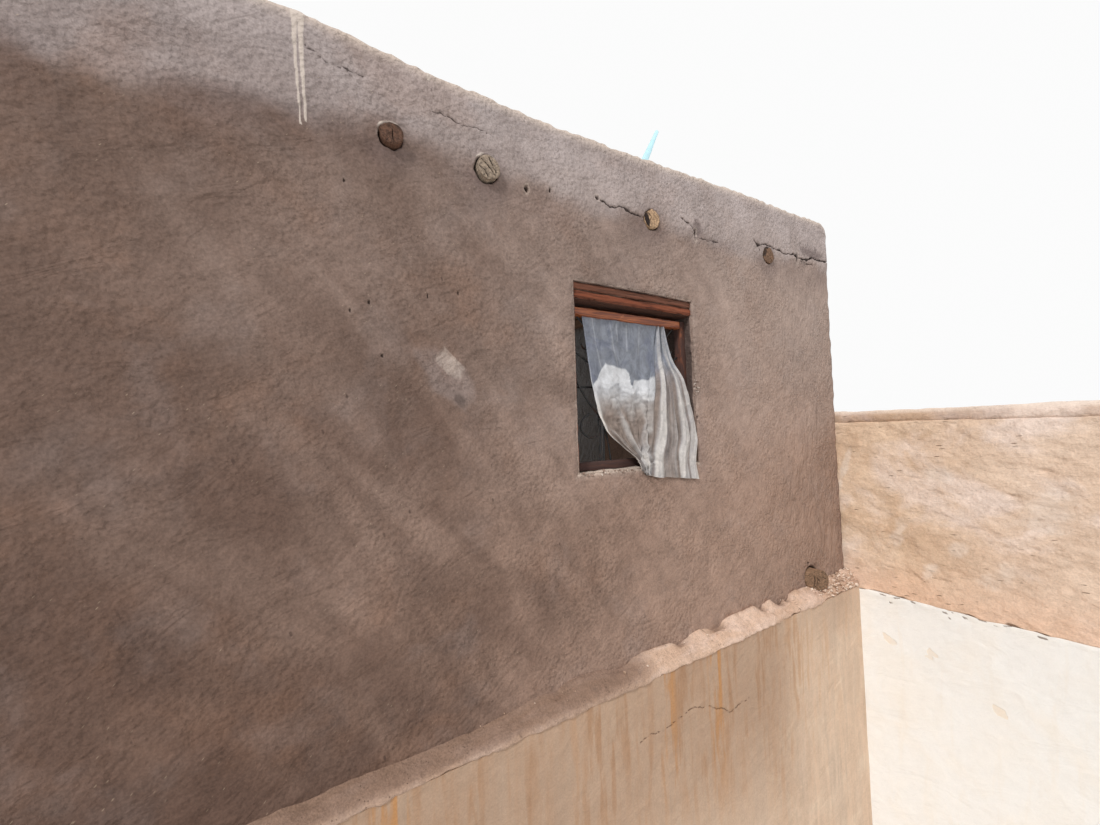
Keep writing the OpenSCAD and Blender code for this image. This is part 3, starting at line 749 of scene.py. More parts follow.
def open_box(low, high, corner, segments):
    """A box without its top and bottom, with rounded uprights."""
    bm = box_shape(low, high)
    take_out(bm, lambda face: abs(face.normal.z) > SQUARE)
    uprights = [edge for edge in bm.edges if edge.verts[0].co.xy == edge.verts[1].co.xy]
    bevelled(bm, uprights, corner, segments)
    return bm


def drawn_over(bm, low, high, profile):
    """Draws the open top rim of a shell between low and high on through (inset, height) pairs."""
    centre, half = (low + high) / 2, (high - low) / 2
    rim = open_edges(bm, lambda co: co.z > high.z - TOUCH)
    last_inset, last_up = 0.0, high.z
    for inset, up in profile:
        rim, corners = extruded(bm, rim)
        factors = [(half[i] - inset) / (half[i] - last_inset) for i in (0, 1)]
        bmesh.ops.scale(bm, vec=(*factors, 1), verts=corners, space=Matrix.Translation(-centre))
        bmesh.ops.translate(bm, vec=(0, 0, up - last_up), verts=corners)
        last_inset, last_up = inset, up


def marks_of(bm, *names):
    """The layers of a shape's marks, by name."""
    return {name: bm.verts.layers.float[name] for name in names}


def rise(value, start, end):
    """0 before start and 1 after end, with a smooth step between them."""
    share = min(max((value - start) / (end - start), 0.0), 1.0)
    return share * share * (3 - 2 * share)


def ripple(x, y, z):
    """Smooth noise round 0 at a place given as three numbers."""
    return noise.noise(Vector((x, y, z)))


def lump(place, size, height):
    """Smooth bumps about as wide as size, up to height high."""
    return height * noise.noise(place / size)


def off_line(across, up, line):
    """Distance in a wall's plane from a place to a broken line."""
    nearest = 9.0
    for (start_a, start_u), (end_a, end_u) in zip(line, line[1:]):
        run_a, run_u = end_a - start_a, end_u - start_u
        share = ((across - start_a) * run_a + (up - start_u) * run_u) / (run_a ** 2 + run_u ** 2)
        share = min(max(share, 0.0), 1.0)
        gap = math.hypot(across - start_a - share * run_a, up - start_u - share * run_u)
        nearest = min(nearest, gap)
    return nearest


def oval(across, up, middle, size):
    """How far out a place lies in an oval: 0 in its middle and 1 on its rim."""
    return math.hypot((across - middle[0]) / size[0], (up - middle[1]) / size[1])


def gaping(across, up, line, wide):
    """How far a crack along a line is open at a place, from 0 to 1."""
    return 1 - rise(off_line(across, up, line), wide * 0.5, wide * 1.5 + 0.001)


def hill(gap, wide):
    """1 where gap is 0, falling away smoothly on both sides."""
    return math.exp(-(gap / wide) ** 2)


def cut_across(bm, direction, pitch_at):
    """Cuts the edges that run in one direction, so that a face becomes a row of faces."""
    groups = {}
    for edge in bm.edges:
        run = edge.verts[1].co - edge.verts[0].co
        if run.length > 1e-6 and abs(run.normalized().dot(direction)) > 0.999:
            middle = (edge.verts[0].co + edge.verts[1].co) / 2
            cuts = round(run.length / pitch_at(middle)) - 1
            if cuts > 0:
                groups.setdefault(cuts, []).append(edge)
    for cuts, edges in groups.items():
        bmesh.ops.subdivide_edges(bm, edges=edges, cuts=cuts, use_grid_fill=True)


def slice_at(bm, direction, places):
    """Cuts the whole shape with planes square to a direction."""
    for place in places:
        everything = bm.verts[:] + bm.edges[:] + bm.faces[:]
        bmesh.ops.bisect_plane(bm, geom=everything, plane_co=direction * place, plane_no=direction)


def take_out(bm, unwanted):
    faces = [face for face in bm.faces if unwanted(face)]
    bmesh.ops.delete(bm, geom=faces, context="FACES")


def open_edges(bm, wanted):
    """The open edges whose two corners both pass a test."""
    return [edge for edge in bm.edges
            if edge.is_boundary and all(wanted(vertex.co) for vertex in edge.verts)]


def extruded(bm, edges):
    """Extrudes open edges and gives back the new edges and the new corners."""
    made = bmesh.ops.extrude_edge_only(bm, edges=edges)["geom"]
    new_edges = [item for item in made if isinstance(item, bmesh.types.BMEdge)]
    corners = {vertex for edge in new_edges for vertex in edge.verts if edge.is_boundary}
    kept = [edge for edge in new_edges if edge.is_boundary]
    return kept, list(corners)


def finer_near(bm, near):
    """Halves the mesh's cells where near(place) is true."""
    edges = {edge for face in bm.faces if near(face.calc_center_median()) for edge in face.edges}
    bmesh.ops.subdivide_edges(bm, edges=list(edges), cuts=1, use_grid_fill=True)


class Wear:
    """What a rule finds at one place: how far the surface moves out, and how strong its marks are."""

    def __init__(self):
        self.out = 0.0
        self.marks = {}

    def mark(self, name, strength):
        """Makes a mark at least this strong."""
        self.marks[name] = max(self.marks.get(name, 0.0), strength)


def raise_by(bm, rule):
    """Moves each corner along its normal, and marks it, as a rule finds for its place and normal."""
    bm.normal_update()
    layers = marks_of(bm, *MARKS)
    moves = []
    for vertex in bm.verts:
        wear = Wear()
        rule(wear, vertex.co, vertex.normal)
        for name, strength in wear.marks.items():
            vertex[layers[name]] = min(max(strength, 0.0), 1.0)
        moves.append(vertex.normal * wear.out)
    for vertex, move in zip(bm.verts, moves):
        vertex.co += move


def kept_inside(bm):
    """Keeps a shape within the house's own box."""
    low, high = CAD_BOX
    for vertex in bm.verts:
        for axis in range(3):
            vertex.co[axis] = min(max(vertex.co[axis], low[axis]), high[axis])


def softened(bm, angle=40.0):
    """Smooth shading, apart from edges sharper than an angle."""
    limit = math.radians(angle)
    for face in bm.faces:
        face.smooth = True
    for edge in bm.edges:
        edge.smooth = len(edge.link_faces) != 2 or edge.calc_face_angle(0) < limit


def set_down(name, shapes, finish, slot, *nodes):
    """Makes one piece of one or more shapes, riding on the house in place of its nodes."""
    pieces = []
    for shape in shapes if isinstance(shapes, list) else [shapes]:
        bmesh.ops.remove_doubles(shape, verts=shape.verts, dist=2e-5)
        bmesh.ops.recalc_face_normals(shape, faces=shape.faces)
        kept_inside(shape)
        mesh = bpy.data.meshes.new(name)
        shape.to_mesh(mesh)
        shape.free()
        piece = bpy.data.objects.new(name, mesh)
        bpy.context.collection.objects.link(piece)
        pieces.append(piece)
    piece = pieces[0]
    if len(pieces) > 1:
        with bpy.context.temp_override(active_object=piece, object=piece,
                                       selected_objects=pieces, selected_editable_objects=pieces):
            bpy.ops.object.join()
    piece.data.materials.append(finish)
    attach(piece, "root")
    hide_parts(*nodes)
    return piece


# The walls


def wall_ring(low, high, opening, crown, pitch, side_pitch, corner):
    """Four plastered walls as one closed shell with an opening through the front.

    crown lists (inset, height) pairs that lead from the outer face over the top and down the
    room's side to the foot. The opening is (lowest corner, highest corner)."""
    bm = open_box(low, high, corner, 3)
    hole_low, hole_high = opening
    slice_at(bm, X, (hole_low.x, hole_high.x))
    slice_at(bm, Z, (hole_low.z, hole_high.z))

    def in_hole(face):
        co = face.calc_center_median()
        return (abs(co.y - low.y) < TOUCH and hole_low.x < co.x < hole_high.x
                and hole_low.z < co.z < hole_high.z)
    take_out(bm, in_hole)
    cut_across(bm, Z, lambda co: pitch)
    cut_across(bm, X, lambda co: pitch if co.y < low.y + 0.01 else side_pitch)
    cut_across(bm, Y, lambda co: side_pitch)
    drawn_over(bm, low, high, crown)
    foot = open_edges(bm, lambda co: co.z < low.z + TOUCH)
    bmesh.ops.bridge_loops(bm, edges=foot)
    through_wall(bm, low.y, low.y + crown[-1][0], hole_low, hole_high)
    return bm


def through_wall(bm, outer_y, room_y, hole_low, hole_high):
    """Takes an opening through to the room's side and lines it."""
    room_side = [vertex for vertex in bm.verts if abs(vertex.co.y - room_y) < TOUCH]
    for edge_x in (hole_low.x, hole_high.x):
        nearest = min((abs(vertex.co.x - edge_x), vertex.co.x) for vertex in room_side)[1]
        for vertex in room_side:
            if abs(vertex.co.x - nearest) < TOUCH:
                vertex.co.x = edge_x

    def opposite(face):
        middle = face.calc_center_median()
        return (abs(middle.y - room_y) < 1e-3 and abs(face.normal.y) > SQUARE
                and hole_low.x < middle.x < hole_high.x and hole_low.z < middle.z < hole_high.z)
    bm.normal_update()
    take_out(bm, opposite)
    rim = open_edges(bm, lambda co: abs(co.y - outer_y) < TOUCH)
    last = outer_y
    for depth in (0.006, 0.014, 0.026, 0.042, 0.066, 0.10, 0.15, 0.22, 0.30):
        rim, corners = extruded(bm, rim)
        bmesh.ops.translate(bm, vec=(0, outer_y + depth - last, 0), verts=corners)
        last = outer_y + depth
    bmesh.ops.bridge_loops(bm, edges=open_edges(bm, lambda co: True))


CRACKS_START = 5.3  # no crack or drip of the front lies lower than this
DIAGONAL = 0.7071  # the sine and cosine of 45 degrees

# Places on the upper storey's front, as (along, up)
PATCHES = [((2.405, 4.50), (0.095, 0.056))]
SEAM = [(0.0, 5.47), (1.5, 5.50), (2.2, 5.53), (2.63, 5.47), (3.0, 5.48), (3.4, 5.50), (4.1, 5.49),
        (4.6, 5.50), (5.04, 5.50), (5.5, 5.53), (6.0, 5.52)]
HOLES = [((2.853, 5.452), (0.013, 0.020), 0.035), ((2.998, 5.483), (0.006, 0.016), 0.015),
         ((3.325, 5.522), (0.016, 0.012), 0.030), ((4.178, 5.479), (0.014, 0.036), 0.045),
         ((4.930, 5.515), (0.010, 0.010), 0.020), ((5.468, 5.553), (0.020, 0.042), 0.022),
         ((2.056, 4.748), (0.006, 0.013), 0.007), ((1.965, 5.254), (0.006, 0.009), 0.006),
         ((1.980, 4.704), (0.006, 0.012), 0.007), ((2.311, 4.807), (0.004, 0.014), 0.006),
         ((2.456, 4.841), (0.004, 0.016), 0.006), ((2.105, 4.519), (0.006, 0.010), 0.006),
         ((4.128, 4.415), (0.009, 0.018), 0.020), ((4.122, 4.452), (0.006, 0.009), 0.014),
         ((4.136, 4.470), (0.005, 0.006), 0.008), ((4.126, 4.225), (0.010, 0.012), 0.016),
         ((5.40, 3.020), (0.016, 0.012), 0.012)]
# Each crack is its line, half its width, its depth and how dark it is
FRONT_CRACKS = [
    ([(1.827, 5.776), (1.918, 5.731), (2.015, 5.736), (2.068, 5.727)], 0.0035, 0.005, 0.70),
    ([(1.975, 5.735), (2.02, 5.70)], 0.002, 0.004, 0.5),
    ([(2.35, 5.69), (2.437, 5.688), (2.50, 5.67), (2.566, 5.687), (2.658, 5.672)], 0.0035, 0.005, 0.68),
    ([(3.325, 5.52), (3.42, 5.497), (3.53, 5.507), (3.63, 5.49), (3.70, 5.485)], 0.0045, 0.009, 0.9),
    ([(4.04, 5.565), (4.12, 5.54), (4.178, 5.50)], 0.004, 0.008, 0.8),
    ([(4.19, 5.47), (4.30, 5.463), (4.42, 5.476)], 0.004, 0.006, 0.7),
    ([(4.855, 5.578), (4.885, 5.555), (4.915, 5.552)], 0.009, 0.016, 1.0),
    ([(4.915, 5.552), (5.00, 5.578), (5.06, 5.576), (5.17, 5.562), (5.30, 5.555), (5.42, 5.570)],
     0.005, 0.012, 1.0),
    ([(5.40, 5.572), (5.47, 5.565), (5.55, 5.552), (5.63, 5.562), (5.72, 5.600), (5.80, 5.590),
      (5.99, 5.603)], 0.008, 0.016, 1.0),
    ([(5.50, 5.535), (5.62, 5.525), (5.72, 5.535)], 0.004, 0.008, 0.7),
]
DRIPS = [([(1.784, 5.93), (1.792, 5.70), (1.808, 5.44)], 0.007),
         ([(1.809, 5.93), (1.814, 5.70), (1.826, 5.46)], 0.009),
         ([(2.335, 5.90), (2.334, 5.83)], 0.006)]
GREYED = [((5.70, 5.632), (0.20, 0.045)), ((4.20, 5.53), (0.05, 0.06))]
PITTED = [((2.50, 5.69), (0.13, 0.08)), ((3.48, 5.65), (0.22, 0.07)), ((3.9, 5.62), (0.2, 0.08))]
# Each shown timber's seat in the plaster, the joist's last: how much the rim stands out above it, which
# way its dark hollow lies, and how wide that is. The hollow is a real gap, darkened and widened on that
# side as painted shadow.
SEATS = [(1.0, 240, 0.012), (0.9, 235, 0.016), (0.3, 250, 0.012), (0.5, 80, 0.010), (0.35, 80, 0.030)]


def stands_out(timber):
    """Whether a round timber's butt shows in the front."""
    return timber[0].y < FRONT - PROUD


SHOWN_POLES = [pole for pole in POLES if stands_out(pole)]
# The shown timbers' ends as (along, up, radius), from left to right and the corner joist's last
SHOWN_ENDS = [(end.x - LEFT, end.z, radius)
              for end, radius, *_ in SHOWN_POLES + [joist for joist in JOISTS if stands_out(joist)]]


def near_front_detail(reach):
    """A test of whether a place lies close to a crack, a hole or a pole on the front."""
    lines = [crack[0] for crack in FRONT_CRACKS] + [drip[0] for drip in DRIPS]

    def near(co):
        if co.y > FRONT + 0.03:
            return False
        along, up = co.x - LEFT, co.z
        if any(abs(math.hypot(along - a, up - u) - r) < reach + 0.012 for a, u, r in SHOWN_ENDS):
            return True
        if up > CRACKS_START and any(off_line(along, up, line) < reach for line in lines):
            return True
        if any(math.hypot(along - a, up - u) < reach + max(size) for (a, u), size, _ in HOLES):
            return True
        return -0.001 < max(off_window(along, up)) < reach * 0.9
    return near


def off_window(along, up):
    """How far a place lies outside the window, to a side and up or down; negative inside it."""
    return (max(WINDOW_LOW.x - LEFT - along, along - (WINDOW_HIGH.x - LEFT)),
            max(WINDOW_LOW.z - up, up - WINDOW_HIGH.z))


def upper_rule(settings):
    """How the upper storey's plaster swells, where it is cracked, stained or worn, and where shade and
    highlights are painted on it.
    """

    def rule(wear, co, facing):
        along, up = co.x - LEFT, co.z
        inside = ROOM_LOW.x + 0.02 < co.x < ROOM_HIGH.x - 0.02 and co.y > ROOM_LOW.y - 0.01
        if inside and up < 5.5 and co.y < ROOM_HIGH.y + 0.01:
            wear.mark("tone", 1.0)
            wear.out = lump(co, 0.5, 0.003) if 3.2 < up < 5.3 else 0.0
            return
        wear.out = lump(co, 1.15, settings.swell) + lump(co, 0.33, 0.0045) + lump(co, 0.12, 0.0026)
        wear.out += lump(co + Vector((5, 2, 8)), 0.062, 0.0014)
        crest = crest_height(co)
        seam = read_off(SEAM, along) + lump(Vector((along, 0, 3)), 0.16, 0.022)
        drift = 0.10 * ripple(along / 0.45, 3, up) + 0.04 * noise.noise(co / 0.11)
        band = rise(up + drift, seam - 0.06, seam + 0.07)
        wear.mark("band", band * (0.75 + 0.25 * rise(up, seam, crest)))
        wear.out += 0.004 * rise(up, seam - 0.012, seam + 0.012)
        # dust and wear on the crest and upward faces, with a painted highlight there
        top = rise(facing.z, 0.15, 0.8) + 0.6 * rise(up, crest - 0.05, crest - 0.005)
        wear.mark("worn", top)
        wear.out += top * lump(co, 0.045, 0.007)
        arris = rise(co.x, UPPER_HIGH.x - 0.10, UPPER_HIGH.x - 0.01)
        arris *= 1 - rise(co.y, FRONT, FRONT + 0.1)
        wear.out += 0.009 * arris * ripple(3, 1, up * 11)
        wear.out += 0.010 * (1 - rise(up, 2.80, 2.89))
        stain = 0.6 * rise(up, seam - 0.32, seam - 0.05) * (1 - rise(up, seam - 0.02, seam + 0.02))
        wear.mark("stain", stain * (0.5 + ripple(along / 0.35, 2, up / 0.9)))
        if facing.y < -0.3:
            wobble = ripple(along * 40, 0, up * 40)
            for feature in FRONT_FEATURES:
                feature(wear, along, up, wobble)
        reveal = WINDOW_LOW.x - 0.05 < co.x < WINDOW_HIGH.x + 0.05 and co.y < ROOM_LOW.y - 0.01
        if reveal and co.y > FRONT + 0.02 and WINDOW_LOW.z - 0.02 < up < WINDOW_HIGH.z + 0.02:
            # painted shade: the window's reveals are darkened, the right one most
            wear.marks["stain"] = 0.9
            if co.x > WINDOW_HIGH.x - 0.02:
                wear.marks["crack"] = 0.62 * rise(co.y, FRONT + 0.005, FRONT + 0.03)
            wear.out += 0.008 * noise.noise(co / 0.05) * (1 - rise(co.y, FRONT + 0.1, FRONT + 0.2))
    return rule


def crest_height(co):
    """The parapet's top at a place on the ring of walls."""
    gaps = {"front": co.y - UPPER_LOW.y, "back": UPPER_HIGH.y - co.y,
            "left": co.x - UPPER_LOW.x, "right": UPPER_HIGH.x - co.x}
    side = min(gaps, key=gaps.get)
    corner = 1 - rise(sorted(gaps.values())[1], 0.0, 0.15)
    return read_off(CREST[side], co.x if side in ("front", "back") else co.y) - 0.06 * corner ** 2


def pole_seats(wear, along, up, wobble):
    """Plaster pushed up over each shown butt with a painted highlight on its upper left, a dark gap
    beside it that is partly real and partly painted shadow, and plaster darker round and below it.
    """
    for index, ((a, u, r), seat) in enumerate(zip(SHOWN_ENDS, SEATS)):
        gap = math.hypot(along - a, up - u) - r
        if gap > 0.20:
            continue
        rim_height, hollow_and_shadow_way, hollow = seat
        way = math.atan2(up - u, along - a)
        gap += 0.006 * ripple(math.cos(way) * 2.2, math.sin(way) * 2.2, index)
        upper, lower = ((0.5 + 0.5 * math.cos(way - math.radians(middle))) ** 1.5
                        for middle in (125, hollow_and_shadow_way))
        broken = 0.75 + 0.9 * ripple(along * 30, index, up * 30)
        hollow *= lower * (0.7 + 0.8 * broken)
        rim = hill(gap - 0.014, 0.009) * rim_height * broken
        wear.out += rim * 0.011 * upper - 0.022 * (1 - rise(gap, -0.002, 0.005 + hollow * 0.8))
        # painted highlight: the rim is paler on its upper left side
        wear.mark("pale", 0.95 * rim * upper)
        # the gap round the butt, darkened and widened towards one side as painted shadow
        wear.mark("crack", 0.95 * (1 - rise(gap, 0.001, 0.005 + hollow)))
        wear.mark("stain", 0.75 * rise(u - up, -0.02, 0.06) * (1 - rise(gap, 0.02, 0.19)))
        wear.mark("stain", 0.4 * (1 - rise(gap, 0.0, 0.09)))


def cracks_and_drips(wear, along, up, wobble):
    """Cracks along the joint line above the poles, and lime that ran down from the crest."""
    if up < CRACKS_START:
        return
    for line, width, depth, dark in FRONT_CRACKS:
        if line[0][0] - 0.05 < along < line[-1][0] + 0.05:
            jog = 0.009 * wobble + 0.010 * ripple(along * 13, 3, 0)
            wide = width * max(0.85 + 1.5 * ripple(along * 17, 8, 0), 0.05)
            open_part = gaping(along, up + jog, line, wide)
            wear.out -= depth * open_part
            wear.mark("crack", open_part * dark)
    for line, width in DRIPS:
        if abs(along - line[0][0]) < 0.06:
            gap = off_line(along + 0.003 * ripple(0, 1, up * 18), up, line)
            wide = read_off([(5.44, 0.6), (5.62, 1.0), (5.80, 1.5), (5.93, 2.4)], up) * width
            run = 1 - rise(gap, wide * 0.45, wide)
            wear.mark("pale", run)
            wear.out += 0.002 * run


def holes(wear, along, up, wobble):
    """Small holes with scuffed rims, darkened inside as painted shade."""
    for middle, size, depth in HOLES:
        gap = oval(along, up, middle, size) + 0.25 * wobble
        if gap < 2:
            pit = 1 - rise(gap, 0.5, 1.15)
            wear.out -= depth * pit
            # painted shade inside the hole
            wear.mark("crack", pit * 0.95)
            scuff = rise(gap, 1.0, 1.2) * (1 - rise(gap, 1.3, 1.8))
            wear.mark("worn", min(depth * 12, 0.4) * scuff)


def pale_patches(wear, along, up, wobble):
    """Squarish repairs that lie at a slant, each with a greyer smear and a chip beside it."""
    for (a, u), (wide, high) in PATCHES:
        down = ((along - a) - (up - u)) * DIAGONAL
        cross = ((along - a) + (up - u)) * DIAGONAL
        ragged = 0.25 * ripple(along * 12, 5, up * 12) + 0.10 * wobble
        reach = ((down / wide) ** 4 + (cross / high) ** 4) ** 0.25
        patch = 1 - rise(reach + ragged, 0.72, 1.05)
        under = 1 - rise(oval(down, cross, (0.04, -0.05), (0.19, 0.10)) + ragged, 0.70, 1.05)
        wear.mark("pale", patch * 0.50)
        wear.mark("band", under * 0.34)
        wear.out += 0.003 * patch + 0.002 * under
        chip = oval(down, cross, (0.155, -0.09), (0.05, 0.035)) + 3 * ragged
        wear.mark("crack", 0.55 * (1 - rise(chip, 0.3, 1.0)))


def rough_places(wear, along, up, wobble):
    """Greyed, crumbled plaster, the pitted places and the smears down the right corner."""
    for middle, size in GREYED:
        rough = 1 - rise(oval(along, up, middle, size) + 0.5 * wobble, 0.7, 1.15)
        wear.mark("stain", 0.85 * rough)
        wear.out -= rough * (0.004 + 0.005 * max(0.0, ripple(along * 45, 6, up * 45)))
    for middle, size in PITTED:
        rough = 1 - rise(oval(along, up, middle, size), 0.5, 1.1)
        wear.out -= rough * 0.006 * max(0.0, ripple(along * 55, 4, up * 55))
    corner = rise(along, 5.84, 5.98) * (1 - rise(up, 3.2, 4.0))
    wear.mark("stain", 0.8 * corner * (0.5 + ripple(along * 26, 1, up * 2)))


def window_arrises(wear, along, up, wobble):
    """The broken, grimy edge of the plaster round the window."""
    edge_x, edge_z = off_window(along, up)
    gap = max(edge_x, edge_z)
    if gap > 0.16:
        return
    broken = 0.5 + ripple(along * 24, 7, up * 24)
    chipped = (0.5 + ripple(along * 9, 2, up * 9)) * max(broken, 0)
    arris = 1 - rise(gap, 0.0, 0.012 + 0.022 * chipped)
    wear.out -= arris * (0.004 + 0.014 * chipped)
    wear.out += 0.004 * wobble * (1 - rise(gap, 0.01, 0.07))
    near = 1 - rise(gap, 0.004, 0.03)
    wear.mark("worn", 0.3 * near * max(broken, 0))
    if edge_z > edge_x and up < WINDOW_LOW.z:
        wear.mark("worn", 0.9 * near)
    right_side = rise(along, WINDOW_HIGH.x - LEFT, WINDOW_HIGH.x - LEFT + 0.01)
    low_part = 1 - rise(up, WINDOW_LOW.z + 0.05, WINDOW_LOW.z + 0.5)
    wear.mark("stain", 0.5 * right_side * low_part * (1 - rise(gap, 0.01, 0.12)))
    wear.mark("stain", 0.35 * (1 - rise(gap, 0.0, 0.05)))


# What only the front's plaster shows
FRONT_FEATURES = (pole_seats, cracks_and_drips, holes, pale_patches, rough_places, window_arrises)


# The shell is made with a level top, and follows the crest from a lower height up
CREST_LEVEL, CREST_START = 5.87, 5.60


def follow_crest(bm):
    """Brings the level top of the shell to the parapet's own wavy line."""
    for vertex in bm.verts:
        share = rise(vertex.co.z, CREST_START, CREST_LEVEL - 0.01)
        if share > 0:
            vertex.co.z += share * (crest_height(vertex.co) + 0.020 - CREST_LEVEL)


class HOUSE_OT_upper_walls(bpy.types.Operator):
    """Plasters the upper storey and its parapet as one shell"""

    bl_idname = "house.upper_walls"
    bl_label = "Upper walls"

    def execute(self, context):
        settings = context.scene.house_plaster
        earth_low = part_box("roof_earth")[0]
        parapet, wall = earth_low.x - LEFT, ROOM_LOW.x - LEFT
        top, arris = CREST_LEVEL, 0.032
        turns = [math.radians(angle) for angle in (30, 60, 90)]
        crown = [(arris * (1 - math.cos(a)), top - arris + arris * math.sin(a)) for a in turns]
        crown += [(inset, top) for inset in (0.06, 0.09, 0.125, 0.16, 0.195, 0.23, parapet - 0.05)]
        crown += [(parapet - 0.018, top - 0.02), (parapet, top - 0.06)]
        crown += [(parapet, up) for up in (5.76, 5.70, earth_low.z)]
        crown += [(wall, up) for up in (5.55, 5.42, 5.22, WINDOW_HIGH.z, 4.6, 4.2, WINDOW_LOW.z,
                                        3.4, 3.0, UPPER_LOW.z)]
        high = Vector((UPPER_HIGH.x, UPPER_HIGH.y, top - arris))
        bm = wall_ring(UPPER_LOW, high, (WINDOW_LOW, WINDOW_HIGH), crown,
                       settings.front_pitch, settings.side_pitch, settings.corner)
        bmesh.ops.recalc_face_normals(bm, faces=bm.faces)
        finer_near(bm, near_front_detail(0.022))
        finer_near(bm, near_front_detail(0.012))
        follow_crest(bm)
        raise_by(bm, upper_rule(settings))
        softened(bm, 70)
        crumbs = [stone(*place) for place in window_crumbs()]
        nodes = [f"upper_{part}" for part in ("front_wall_left", "front_wall_right",
                 "front_wall_under_window", "front_wall_over_window", "back_wall", "left_wall",
                 "right_wall")]
        nodes += [f"{side}_parapet" for side in ("front", "back", "left", "right")]
        set_down("upper_plaster", [bm] + crumbs, upper_mud(settings), "mud_plaster", *nodes)
        return {"FINISHED"}


def window_crumbs():
    """Broken bits of plaster along the window's right and lower arrises."""
    rng = random.Random(5)
    for _ in range(80):
        if rng.random() < 0.6:
            along = WINDOW_HIGH.x - LEFT + rng.uniform(0.0, 0.030)
            up = rng.gauss(4.435, 0.035)
        else:
            along = WINDOW_LOW.x - LEFT + rng.uniform(0.0, 0.42)
            up = WINDOW_LOW.z - rng.uniform(-0.004, 0.020)
        place = on_front(along, up, rng.uniform(-0.012, 0.004))
        yield place, rng.uniform(0.003, 0.009), rng.random(), rng.random() ** 2


RIDGE_LINE = [(4.122, 2.065), (5.0, 2.09), (5.942, 2.125)]
LOWER_CRACK = [(3.417, 2.441), (3.662, 2.430), (3.819, 2.465), (4.000, 2.424), (4.191, 2.319),
               (4.406, 2.334)]


def lower_rule(settings):
    """How the lower storey's plaster swells and is stained, with painted shadow in the stain at its
    left.
    """

    def rule(wear, co, facing):
        along, up = co.x - LEFT, co.z
        inside = ROOM_LOW.x - 0.01 < co.x < ROOM_HIGH.x + 0.01 and co.y > ROOM_LOW.y - 0.01
        if inside and co.y < ROOM_HIGH.y + 0.01:
            wear.mark("tone", 1.0)
            return
        swell = lump(co, 1.1, settings.swell * 0.7) + lump(co, 0.28, 0.0028) + lump(co, 0.09, 0.0011)
        wear.out = min(swell, 0.010)
        under = rise(up, 2.25, 2.72) * (0.55 + 0.6 * ripple(along / 0.3, 1, up / 2))
        # darker at the left and below the ledge: partly real stain, partly painted shadow of the ledge
        left_part = 1 - rise(along, 4.6, 5.2)
        wear.mark("stain", under * (0.4 + 0.5 * left_part))
        wear.mark("stain", 0.75 * left_part * rise(up, 0.8, 2.4))
        wear.mark("worn", rise(up, 1.6, 2.6) * rise(ripple(along / 0.22, 5, 0), 0.1, 0.45))
        wear.mark("pale", 1 - rise(up, 0.05, 0.45 + 0.2 * ripple(along, co.y, 0)))
        if facing.y < -0.5:
            ridge = off_line(along, up + 0.02 * ripple(along * 4, 1, 0), RIDGE_LINE)
            wear.out += 0.005 * (1 - rise(ridge, 0.003, 0.035))
            jog = 0.008 * ripple(along * 40, 0, up * 40) + 0.012 * ripple(along * 11, 3, 0)
            wide = 0.003 * max(0.8 + 1.5 * ripple(along * 15, 6, 0), 0.05)
            open_part = gaping(along, up + jog, LOWER_CRACK, wide)
            wear.out -= 0.006 * open_part
            wear.mark("crack", open_part)
    return rule


class HOUSE_OT_lower_walls(bpy.types.Operator):
    """Plasters the lower storey as one shell with its doorway"""

    bl_idname = "house.lower_walls"
    bl_label = "Lower walls"

    def execute(self, context):
        settings = context.scene.house_plaster
        wall = ROOM_LOW.x - LOWER_LOW.x
        ledge_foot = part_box("front_ledge")[0].z
        crown = [(0.04, ledge_foot), (0.10, ledge_foot), (0.14, LOWER_HIGH.z), (0.3, LOWER_HIGH.z)]
        crown += [(wall, up) for up in (LOWER_HIGH.z, 2.4, DOOR_HIGH.z, 1.4, 0.7, DOOR_LOW.z,
                                        LOWER_LOW.z)]
        high = Vector((LOWER_HIGH.x, LOWER_HIGH.y, ledge_foot))
        bm = wall_ring(LOWER_LOW, high, (DOOR_LOW, DOOR_HIGH), crown, 0.030, 0.075, settings.corner)
        bmesh.ops.recalc_face_normals(bm, faces=bm.faces)

        def near(co):
            along = co.x - LEFT
            on_face = co.y < LOWER_LOW.y + 0.02 and 3.3 < along < 4.5 and 2.2 < co.z < 2.6
            return on_face and off_line(along, co.z, LOWER_CRACK) < 0.03
        finer_near(bm, near)
        finer_near(bm, near)
        raise_by(bm, lower_rule(settings))
        softened(bm, 70)
        nodes = [f"lower_{part}" for part in ("front_wall_left", "front_wall_right",
                 "front_wall_over_door", "back_wall", "left_wall", "right_wall")]
        set_down("lower_plaster", bm, lower_lime(settings), "lower_plaster", *nodes)
        return {"FINISHED"}


